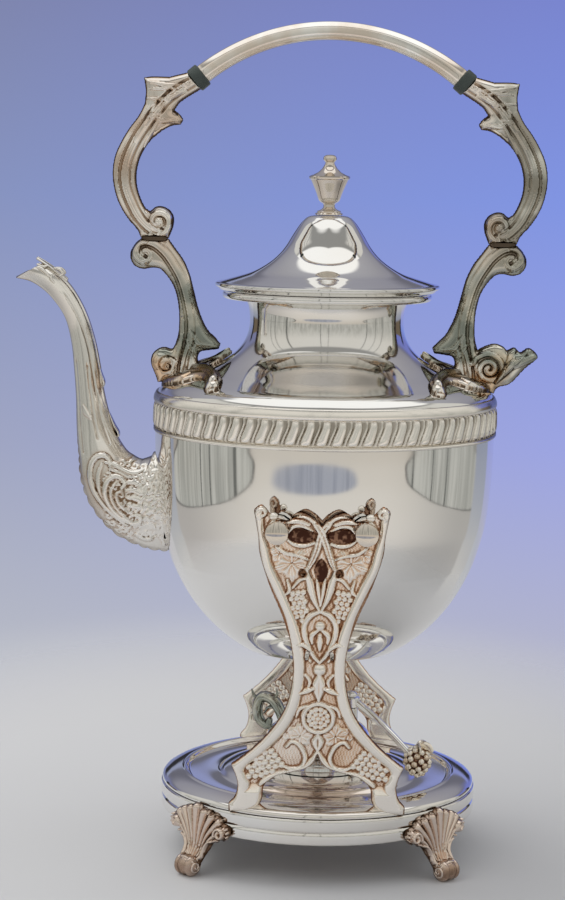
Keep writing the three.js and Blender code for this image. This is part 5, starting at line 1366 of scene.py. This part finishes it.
def make_foot(name, node, turn):
    bm = casting(foot_outline(), [], 0.32, foot_height, 0.4)
    back = [(0, 71.4), (4, 70.4), (8, 68.4), (11, 66.8), (14, 66.3), (26, 66.4), (29.5, 66.8)]
    heights = [h for h, _ in back]
    radii = [r for _, r in back]
    backed(bm, 0.0)

    def to_place(x, z, out):
        radius = float(np.interp(z, heights, radii))
        bend = x / 74.0
        r = radius + 1.0 * out + 2.2 * max(0.0, 1 - z / 9.0) * (out > 0)
        return r * math.sin(bend), -r * math.cos(bend), z

    carried(bm, to_place)
    # Rolled toe: a smooth roll with a scroll on each end and a lip where it closes
    layer = bm.verts.layers.float["cavity"]
    for x, wide, size in ((0, 5.3, 4.15), (-2.9, 1.9, 4.3), (2.9, 1.9, 4.3), (0, 1.5, 4.38)):
        made = bmesh.ops.create_uvsphere(bm, u_segments=48, v_segments=24, radius=1)["verts"]
        bmesh.ops.rotate(bm, verts=made, cent=(0, 0, 0), matrix=Matrix.Rotation(math.radians(90), 3, "Y"))
        bmesh.ops.scale(bm, vec=(wide, size, size), verts=made)
        bmesh.ops.translate(bm, vec=(x, -TOE_OUT, TOE_HEIGHT), verts=made)
        for vert in made:
            vert[layer] = 0.36 + 0.012 * (TOE_HEIGHT - vert.co.z) ** 2
    for side in (-1, 1):
        scroll = spiral(0, 0, 120, 1.6, 3.3, 0.5, 50)
        path = []
        for a, b in scroll:
            depth = side * (5.3 * math.sqrt(max(1 - (math.hypot(a, b) / 4.15) ** 2, 0.0)) - 0.1)
            path.append((depth, -TOE_OUT - a, TOE_HEIGHT + b))
        tube(bm, path, np.linspace(0.62, 0.4, len(path)), sides=8)
    lip = math.radians(118)
    path = []
    for x in np.linspace(-4.4, 4.4, 16):
        bulge = 4.25 * (1 - (x / 6.4) ** 2)
        path.append((x, -TOE_OUT + bulge * math.cos(lip), TOE_HEIGHT + bulge * math.sin(lip)))
    tube(bm, path, 0.6, sides=8)
    for vert in bm.verts:
        vert.co.z = max(vert.co.z, 0.0)
    finished(bm, name, "stand", node, finish="cast_silver", look="foot", turn=turn, crease=70)


def make_pin(name, node, body, side, turn):
    face = PIN_REACH + 1.6 / math.cos(LEAN) + 4.4 * math.tan(LEAN) + 0.3
    line = [(0, 68), (1.7, 68), (2.2, 68.5), (2.2, face), (4.3, face), (4.5, face + 0.25), (4.5, face + 1.6),
            (4.3, face + 1.95), (3.6, face + 2.15), (2.0, face + 2.35), (0, face + 2.45)]
    bm = lathe(line, 48)
    bmesh.ops.rotate(bm, verts=bm.verts[:], cent=(0, 0, 0), matrix=Matrix.Rotation(math.radians(90), 3, "X"))
    bmesh.ops.translate(bm, vec=(side * PIN_OUT, 0, PIN_HEIGHT), verts=bm.verts[:])
    finished(bm, name, body, node, turn=turn, look="warm")


# Spirit burner and snuffer

def make_font():
    outer = curve([(20, 33.9), (20.0, 36.5), (20.3, 39.4), (21.6, 41.8), (22, 43.6), (21.7, 46), (20.4, 48.6),
                   (17.8, 50.9), (14.2, 52.6), (9.6, 53.4)], 5)
    outer = [(0, 33.9)] + [tuple(p) for p in outer]
    inner = [(max(r - 1, 0), z + (1 if z < 35 else -0.6 if r < 19 else 0)) for r, z in outer]
    inner[-1] = (8.6, 52.4)
    finished(lathe(outer + [(8.6, 53.4)] + inner[::-1], 96), "font", "burner", "burner_font", crease=40)


def make_collar():
    line = [(2.95, 49.7), (8.25, 49.7), (8.25, 53.7), (10.3, 53.7), (10.5, 54.1), (10.5, 56.0), (10.2, 56.8),
            (9.3, 57.3), (6.0, 57.3), (4.7, 57.8), (4.5, 58.6), (4.5, 64.9), (4.3, 65.3), (2.95, 65.3)]
    finished(lathe(line, 80, closed=True), "collar", "burner", "burner_collar", crease=35)


def make_wick():
    line = [(0, 40.5), (2.6, 40.5), (2.6, 65.8), (2.3, 66.3), (1.2, 66.5), (0, 66.5)]
    finished(lathe(line, 32), "cotton wick", "burner", "wick", finish="wick_cotton")


def flat_line(points):
    """Places of a line that lies in the upright plane through the axis."""
    return np.column_stack([points[:, 0], np.zeros(len(points)), points[:, 1]])


def make_burner_handle():
    rows = curve([(17.6, 50.8, 2.4, 2.1), (19, 54, 2.8, 2.2), (22.5, 58, 2.9, 2.3), (27.5, 58.6, 2.8, 2.3),
                  (30, 54, 2.6, 2.2), (28.8, 48.6, 2.3, 2), (25, 46.6, 1.9, 1.8), (23.8, 49.2, 1.3, 1.3)], 8)
    bm = bmesh.new()
    tube(bm, flat_line(rows), rows[:, 2:][:, ::-1], sides=20)
    for points, wide in (
        ([(21, 55), (24.5, 54.4), (26.8, 51.6)], 1.0),
        ([(28, 57.5), (31.8, 58.6), (33, 61.2)], 1.1),
        ([(29.8, 52), (32.6, 50.6), (33, 48)], 1.0),
        ([(22, 58.4), (20.4, 60.6), (20.8, 62.6)], 0.9),
    ):
        line = curve(points, 6)
        taper = np.linspace(1, 0.3, len(line))
        tube(bm, flat_line(line), np.column_stack([taper * wide, taper * wide * 1.3]), sides=10)
    finished(bm, "scroll handle", "burner", "burner_handle", finish="cast_silver", look="dark_handle",
             turn=SNUFFER_TURN + 180)


def make_post():
    line = [(0, 47.5), (3.2, 47.5), (3.2, 59.2), (3.0, 59.8), (1.6, 59.97), (1.6, 64.6), (2.6, 64.6),
            (2.8, 64.9), (2.8, 65.6), (2.3, 66.3), (1.2, 66.7), (0, 66.8)]
    bm = lathe(line, 36)
    bmesh.ops.translate(bm, vec=(POST_OUT, 0, 0), verts=bm.verts[:])
    finished(bm, "snuffer post", "burner", "snuffer_post", turn=SNUFFER_TURN)


def make_cap():
    line = [(0, 67.1), (6.2, 67.1), (6.4, 67.4), (6.4, 69.4), (6.1, 69.9), (5.2, 70.6), (4.3, 71.05), (0, 71.1)]
    finished(lathe(line, 56), "snuffer cap", "snuffer", "snuffer_cap", turn=SNUFFER_TURN, crease=40)


def make_lever():
    bm = lathe([(1.95, 60.3), (3.7, 60.3), (3.9, 60.5), (3.9, 64.0), (3.7, 64.25), (1.95, 64.25)], 40,
               closed=True)
    bmesh.ops.translate(bm, vec=(POST_OUT, 0, 0), verts=bm.verts[:])
    inner = curve([(12.2, 62.3), (9.6, 63.5), (8.6, 68.3), (5.4, 72.2), (1, 72.4)], 8)
    tube(bm, flat_line(inner), 1.4, sides=14)
    outer = curve([(17.8, 62.3), (24, 58.7), (35, 50.8), (45.5, 42.2)], 10)
    tube(bm, flat_line(outer), 1.45, sides=16)
    add_shape(bm, lathe([(0, 71.4), (2.8, 71.4), (3.0, 71.6), (3.0, 72.7), (2.6, 73), (0, 73)], 32))
    finished(bm, "snuffer lever", "snuffer", "snuffer_lever", turn=SNUFFER_TURN)


def make_knob():
    """A bunch of grapes with three leaves."""
    bm = bmesh.new()
    layer = bm.verts.layers.float.new("cavity")
    # Painted shade: a nearly black core, with painted warm glints, fills the gaps between the grapes
    set_tone(bm, lump(bm, (47, 0, 41.4), (4.8, 4.8, 5.6), 3), 0.04)
    golden = math.pi * (3 - math.sqrt(5))
    count = 46
    for k in range(count):
        z = 1 - 2 * (k + 0.5) / count
        r = math.sqrt(1 - z * z)
        a = golden * k
        taper = 1 - 0.22 * max(0, -z)
        spot = (47 + 5.0 * r * math.cos(a) * taper, 5.0 * r * math.sin(a) * taper, 41.4 + 5.6 * z)
        for vert in lump(bm, spot, (1.35, 1.35, 1.35), 2):
            # Each grape has a random tone and is painted lighter on its upper side, a painted top light
            vert[layer] = 0.26 + 0.06 * (7 * k % 10) + 0.10 * (vert.co - Vector(spot)).normalized().z
    for tilt in (-50, 10, 70):
        a = math.radians(tilt)
        rows = []
        for d, lift in ((0, 0.2), (2.2, 0.6), (4.4, 0.1), (6.2, -1.6)):
            rows.append((47 + d * math.cos(a), d * math.sin(a), 47.6 + lift))
        radii = [(0.7 + 1.3 * math.sin(math.pi * t), 0.5) for t in np.linspace(0.1, 0.95, 13)]
        tube(bm, curve(rows, 4), radii, sides=10)
    finished(bm, "grape knob", "snuffer", "snuffer_knob", finish="cast_silver", look="knob", turn=SNUFFER_TURN)


# The pieces

make_bowl()
make_shoulder()
make_belt()
make_mouth_ring()
make_lid()
make_finial()
make_spout()
make_arm("right arm", "handle_arm_right", 0)
make_arm("left arm", "handle_arm_left", 180)
make_leg("right leg", "handle_leg_right", True, 0)
make_leg("left leg", "handle_leg_left", False, 180)
make_grip()
make_insulator("right insulator", "handle_insulator_right", INSULATOR_ANGLE)
make_insulator("left insulator", "handle_insulator_left", -INSULATOR_ANGLE)
make_panel("front panel", "panel_front", 0)
make_panel("rear panel", "panel_rear", 180)
make_tray()
make_rim()
make_seat_ring()
for place, turn in (("front_left", -45), ("front_right", 46.5), ("rear_left", -135), ("rear_right", 135)):
    make_foot("shell foot " + place.replace("_", " "), "foot_" + place, turn)
make_pin("front hinge pin", "hinge_pin_front", "stand", -1, 0)
make_pin("rear hinge pin", "hinge_pin_rear", "stand", 1, 180)
make_pin("front lock pin", "lock_pin_front", "front_lock_pin", 1, 0)
make_pin("rear lock pin", "lock_pin_rear", "rear_lock_pin", -1, 180)
make_font()
make_collar()
make_wick()
make_burner_handle()
make_post()
make_cap()
make_lever()
make_knob()
# Small hinge, boss and nut nodes stay as they are
for kept in ("lid_hinge_bracket", "lid_hinge_pin", "lid_hinge_tongue", "finial_nut", "hinge_boss_front",
             "hinge_boss_rear", "rest_boss_front", "rest_boss_rear"):
    nodes[kept].data.materials.clear()
    nodes[kept].data.materials.append(FINISHES["polished_silver"])


# Stage, light and camera

def make_floor():
    bm = bmesh.new()
    bmesh.ops.create_grid(bm, x_segments=8, y_segments=8, size=3.0)
    mesh = bpy.data.meshes.new("floor")
    bm.to_mesh(mesh)
    bm.free()
    floor = bpy.data.objects.new("floor", mesh)
    bpy.context.scene.collection.objects.link(floor)
    material = bpy.data.materials.new("pale floor")
    material.use_nodes = True
    g = Graph(material.node_tree)
    shader = material.node_tree.nodes["Principled BSDF"]
    g.put(shader.inputs["Base Color"], (0.62, 0.62, 0.625, 1))
    g.put(shader.inputs["Roughness"], 0.55)
    g.put(shader.inputs["Specular IOR Level"], 0.2)
    place = g.add("ShaderNodeTexCoord").outputs["Object"]
    x, y, _ = g.xyz(place)
    far = g.math("SQRT", g.plus(g.math("POWER", x, 2.0), g.math("POWER", g.times(y, 0.62), 2.0)))
    seen = g.step(far, 0.34, 0.15)
    clear = g.add("ShaderNodeBsdfTransparent")
    mix = g.add("ShaderNodeMixShader")
    g.put(mix.inputs[0], seen)
    g.links.new(clear.outputs[0], mix.inputs[1])
    g.links.new(shader.outputs[0], mix.inputs[2])
    g.links.new(mix.outputs[0], material.node_tree.nodes["Material Output"].inputs["Surface"])
    mesh.materials.append(material)


def make_world():
    """A tent of gauze over the front, a white light on top, and the blue backdrop behind."""
    world = bpy.data.worlds.new("studio")
    bpy.context.scene.world = world
    world.use_nodes = True
    g = Graph(world.node_tree)
    out = world.node_tree.nodes["Background"]
    direction = g.add("ShaderNodeTexCoord").outputs["Generated"]
    a, b, z = g.xyz(direction)
    # The tent is square to the camera, which stands a little to the right of the part's front
    x = g.plus(g.times(a, math.cos(CAMERA_TURN)), g.times(b, math.sin(CAMERA_TURN)))
    y = g.minus(g.times(b, math.cos(CAMERA_TURN)), g.times(a, math.sin(CAMERA_TURN)))
    lift = g.times(g.math("ARCSINE", z), 180 / math.pi)
    turn = g.times(g.math("ARCTAN2", x, g.times(y, -1.0)), 180 / math.pi)
    away = g.size(turn)

    def patch(centre, half_wide, height, half_high, soft=0.05, square=2.0):
        """1 inside a rounded patch of directions, and 1 along its border."""
        across = g.math("POWER", g.size(g.math("DIVIDE", g.minus(turn, centre), half_wide)), square)
        up = g.math("POWER", g.size(g.math("DIVIDE", g.minus(lift, height), half_high)), square)
        far = g.plus(across, up)
        border = g.step(g.size(g.minus(far, 1.0)), 0.07, 0.03)
        return g.step(far, 1 + soft, 1 - soft), border

    # Backdrop: deep blue above and pale below, stronger on the right
    left = g.colours(g.step(lift, -18.0, 6.0, soft=False), [
        (0.0, (0.58, 0.58, 0.60)), (0.1, (0.57, 0.565, 0.60)), (0.25, (0.47, 0.49, 0.56)),
        (0.46, (0.35, 0.38, 0.53)), (0.72, (0.245, 0.295, 0.515)), (1.0, (0.20, 0.215, 0.37)),
    ])
    right = g.colours(g.step(lift, -18.0, 6.0, soft=False), [
        (0.0, (0.50, 0.52, 0.56)), (0.1, (0.46, 0.48, 0.55)), (0.25, (0.45, 0.462, 0.60)),
        (0.46, (0.337, 0.376, 0.75)), (0.72, (0.22, 0.30, 0.76)), (1.0, (0.185, 0.215, 0.58)),
    ])
    backdrop = g.blend(g.step(x, -0.14, 0.12, soft=False), left, right)
    # What the metal sees behind: the backdrop low down, a dark gap over it, lavender higher up
    lavender = g.colours(g.step(lift, 6.0, 80.0, soft=False), [
        (0.03, (0.03, 0.03, 0.035)), (0.07, (0.03, 0.03, 0.035)), (0.11, (0.12, 0.12, 0.14)),
        (0.15, (0.17, 0.17, 0.20)), (0.20, (0.26, 0.26, 0.32)), (0.46, (0.36, 0.36, 0.40)),
        (0.93, (0.50, 0.50, 0.53)),
    ])
    behind = g.blend(g.step(lift, 5.5, 7.5), backdrop, lavender)
    sky = g.blend(g.step(x, -0.14, 0.12), (0.31, 0.34, 0.49), (0.26, 0.30, 0.64))
    sky = g.blend(g.step(lift, 14.6, 16.2), sky, (0.15, 0.15, 0.19))
    glow = g.times(g.step(lift, 11.5, 13.5), g.step(lift, 27.0, 18.0))
    behind = g.blend(glow, behind, sky)
    clear_sides = g.times(g.step(away, 164.0, 154.0), g.step(lift, 24.0, 15.0))
    behind = g.blend(clear_sides, behind, backdrop)
    low_side = g.colours(g.step(lift, -26.0, -7.0, soft=False), [
        (0.0, (0.56, 0.55, 0.53)), (0.62, (0.44, 0.455, 0.49)), (1.0, (0.30, 0.33, 0.42)),
    ])
    beside = g.blend(g.step(lift, -7.0, -5.0), low_side, (0.15, 0.12, 0.085))
    beside = g.blend(g.step(lift, 5.5, 7.5), beside, behind)
    behind = g.blend(g.step(away, 145.0, 143.0), behind, beside)
    edge_line = g.times(g.step(away, 139.0, 141.0), g.step(away, 146.0, 144.0))
    edge_line = g.times(edge_line, g.times(g.step(lift, -7.0, -5.0), g.step(lift, 16.0, 9.0)))
    behind = g.blend(edge_line, behind, (0.02, 0.02, 0.02))
    # Gauze in front, lighter higher up, with fine upright streaks
    streaks = g.add("ShaderNodeCombineXYZ")
    g.put(streaks.inputs[0], g.times(turn, 0.32))
    g.put(streaks.inputs[1], g.times(lift, 0.035))
    weave = g.noise(streaks.outputs[0], 1.0, 3.0, 0.7)
    gauze = g.blend(g.step(weave, 0.32, 0.66), (0.345, 0.35, 0.325), (0.545, 0.545, 0.51))
    gauze = g.blend(g.step(lift, -2.0, 30.0), gauze, (0.68, 0.67, 0.63))
    lines = 0.0
    for angle, wide in ((-63, 2.0), (-84, 0.9), (-92.5, 0.7), (-10, 0.8), (2, 0.6), (61, 0.9),
                        (77, 0.7), (90, 0.8)):
        line = g.step(g.size(g.minus(turn, angle)), wide, 0.3 * wide)
        lines = g.math("MAXIMUM", lines, line)
    gauze = g.blend(g.times(lines, 0.8), gauze, (0.06, 0.065, 0.06))
    bright_edge = g.times(g.step(away, 110.0, 112.0), g.step(away, 119.0, 117.0))
    bright_edge = g.times(bright_edge, g.times(g.step(lift, -7.0, -5.0), g.step(lift, 16.0, 9.0)))
    gauze = g.blend(g.times(bright_edge, 0.7), gauze, (0.72, 0.70, 0.66))
    # Paper below it, darker at both sides, that the side gaps and one oval gap break through
    paper = g.colours(g.step(lift, -60.0, -6.0, soft=False), [
        (0.0, (0.40, 0.40, 0.385)), (0.35, (0.62, 0.60, 0.57)), (0.6, (0.74, 0.71, 0.67)),
        (0.84, (0.70, 0.67, 0.62)), (1.0, (0.58, 0.535, 0.47)),
    ])
    dim = g.blend(g.step(turn, -10.0, 10.0), (0.64, 0.64, 0.66), (0.62, 0.63, 0.65))
    shade = g.add("ShaderNodeMix", data_type="RGBA", blend_type="MULTIPLY")
    g.put(shade.inputs[0], g.step(away, 35.0, 115.0))
    g.put(shade.inputs[6], paper)
    g.put(shade.inputs[7], dim)
    paper = shade.outputs[2]
    corner = g.times(g.step(turn, 15.0, 90.0), g.step(lift, -18.0, -45.0))
    paper = g.blend(g.times(corner, 0.8), paper, (0.14, 0.145, 0.15))
    front = g.blend(g.step(lift, -7.4, -6.4), paper, gauze)
    for centre, half_wide, height, half_high in ((-87.0, 38.5, -10.6, 4.7), (94.0, 38.5, -10.4, 3.9)):
        gap, border = patch(centre, half_wide, height, half_high, 0.05, 2.2)
        front = g.blend(gap, front, gauze)
        front = g.blend(g.times(border, 0.75), front, (0.05, 0.05, 0.05))
    gap, _ = patch(-7.4, 28.8, -12.3, 2.35, 0.2)
    front = g.blend(gap, front, g.blend(g.step(weave, 0.35, 0.6), (0.29, 0.31, 0.37), (0.38, 0.40, 0.46)))
    front = g.blend(g.step(lift, 46.0, 52.0), front, (0.30, 0.30, 0.29))
    high = g.plus(lift, g.times(g.math("MINIMUM", away, 112.0), 0.14))
    front = g.blend(g.step(high, 65.5, 69.0), front, (1.05, 1.05, 1.03))
    around = g.blend(g.step(away, 122.0, 125.0), front, behind)
    ceiling = g.times(g.step(lift, 53.0, 58.0), g.step(away, 112.0, 118.0))
    full = g.blend(g.math("MAXIMUM", ceiling, g.step(lift, 66.0, 69.0)), around, (1.05, 1.05, 1.03))
    below = g.colours(g.step(lift, -70.0, -20.0, soft=False), [
        (0.0, (0.38, 0.375, 0.36)), (1.0, (0.58, 0.58, 0.58)),
    ])
    full = g.blend(g.times(g.step(lift, -20.0, -30.0), g.step(away, 120.0, 140.0)), full, below)
    rays = g.add("ShaderNodeLightPath")
    soft = g.blend(rays.outputs["Is Diffuse Ray"], full, (0.56, 0.56, 0.565))
    seen = g.blend(rays.outputs["Is Camera Ray"], soft, backdrop)
    g.put(out.inputs["Color"], seen)
    g.put(out.inputs["Strength"], 1.0)


def make_lamp(name, place, aim, size, power, colour=(1, 1, 1)):
    lamp = bpy.data.lights.new(name, "AREA")
    lamp.shape = "RECTANGLE"
    lamp.size, lamp.size_y = size
    lamp.energy = power
    lamp.color = colour
    holder = bpy.data.objects.new(name, lamp)
    bpy.context.scene.collection.objects.link(holder)
    holder.location = place
    direction = Vector(aim) - Vector(place)
    holder.rotation_euler = direction.to_track_quat("-Z", "Y").to_euler()
    holder.visible_glossy = False


def make_camera():
    camera = bpy.data.cameras.new("camera")
    camera.sensor_fit = "VERTICAL"
    camera.sensor_height = 36
    camera.lens = 18 / math.tan(math.radians(CAMERA_VIEW / 2))
    holder = bpy.data.objects.new("camera", camera)
    bpy.context.scene.collection.objects.link(holder)
    axis = Vector((AXIS_X / 1000, 0, 0))
    tilt = Matrix.Rotation(math.radians(90 - CAMERA_DOWN), 4, "X")
    tilt = tilt @ Matrix.Rotation(math.radians(CAMERA_ROLL), 4, "Z")
    square = Matrix.Translation(Vector(CAMERA_PLACE) - axis) @ tilt
    holder.matrix_world = Matrix.Translation(axis) @ Matrix.Rotation(CAMERA_TURN, 4, "Z") @ square
    bpy.context.scene.camera = holder


make_floor()
make_world()
make_lamp("high left softbox", (-0.55, 0.35, 0.95), (0, 0, 0.1), (0.9, 0.9), 5.4)
make_lamp("front left softbox", (-0.6, -0.5, 0.8), (0, 0, 0.1), (0.6, 0.6), 1.6)
make_lamp("right softbox", (0.8, 0.1, 0.8), (0.1, 0, 0), (0.7, 0.7), 1.1, (0.88, 0.92, 1.0))
make_camera()
bpy.context.scene.view_settings.view_transform = "Standard"
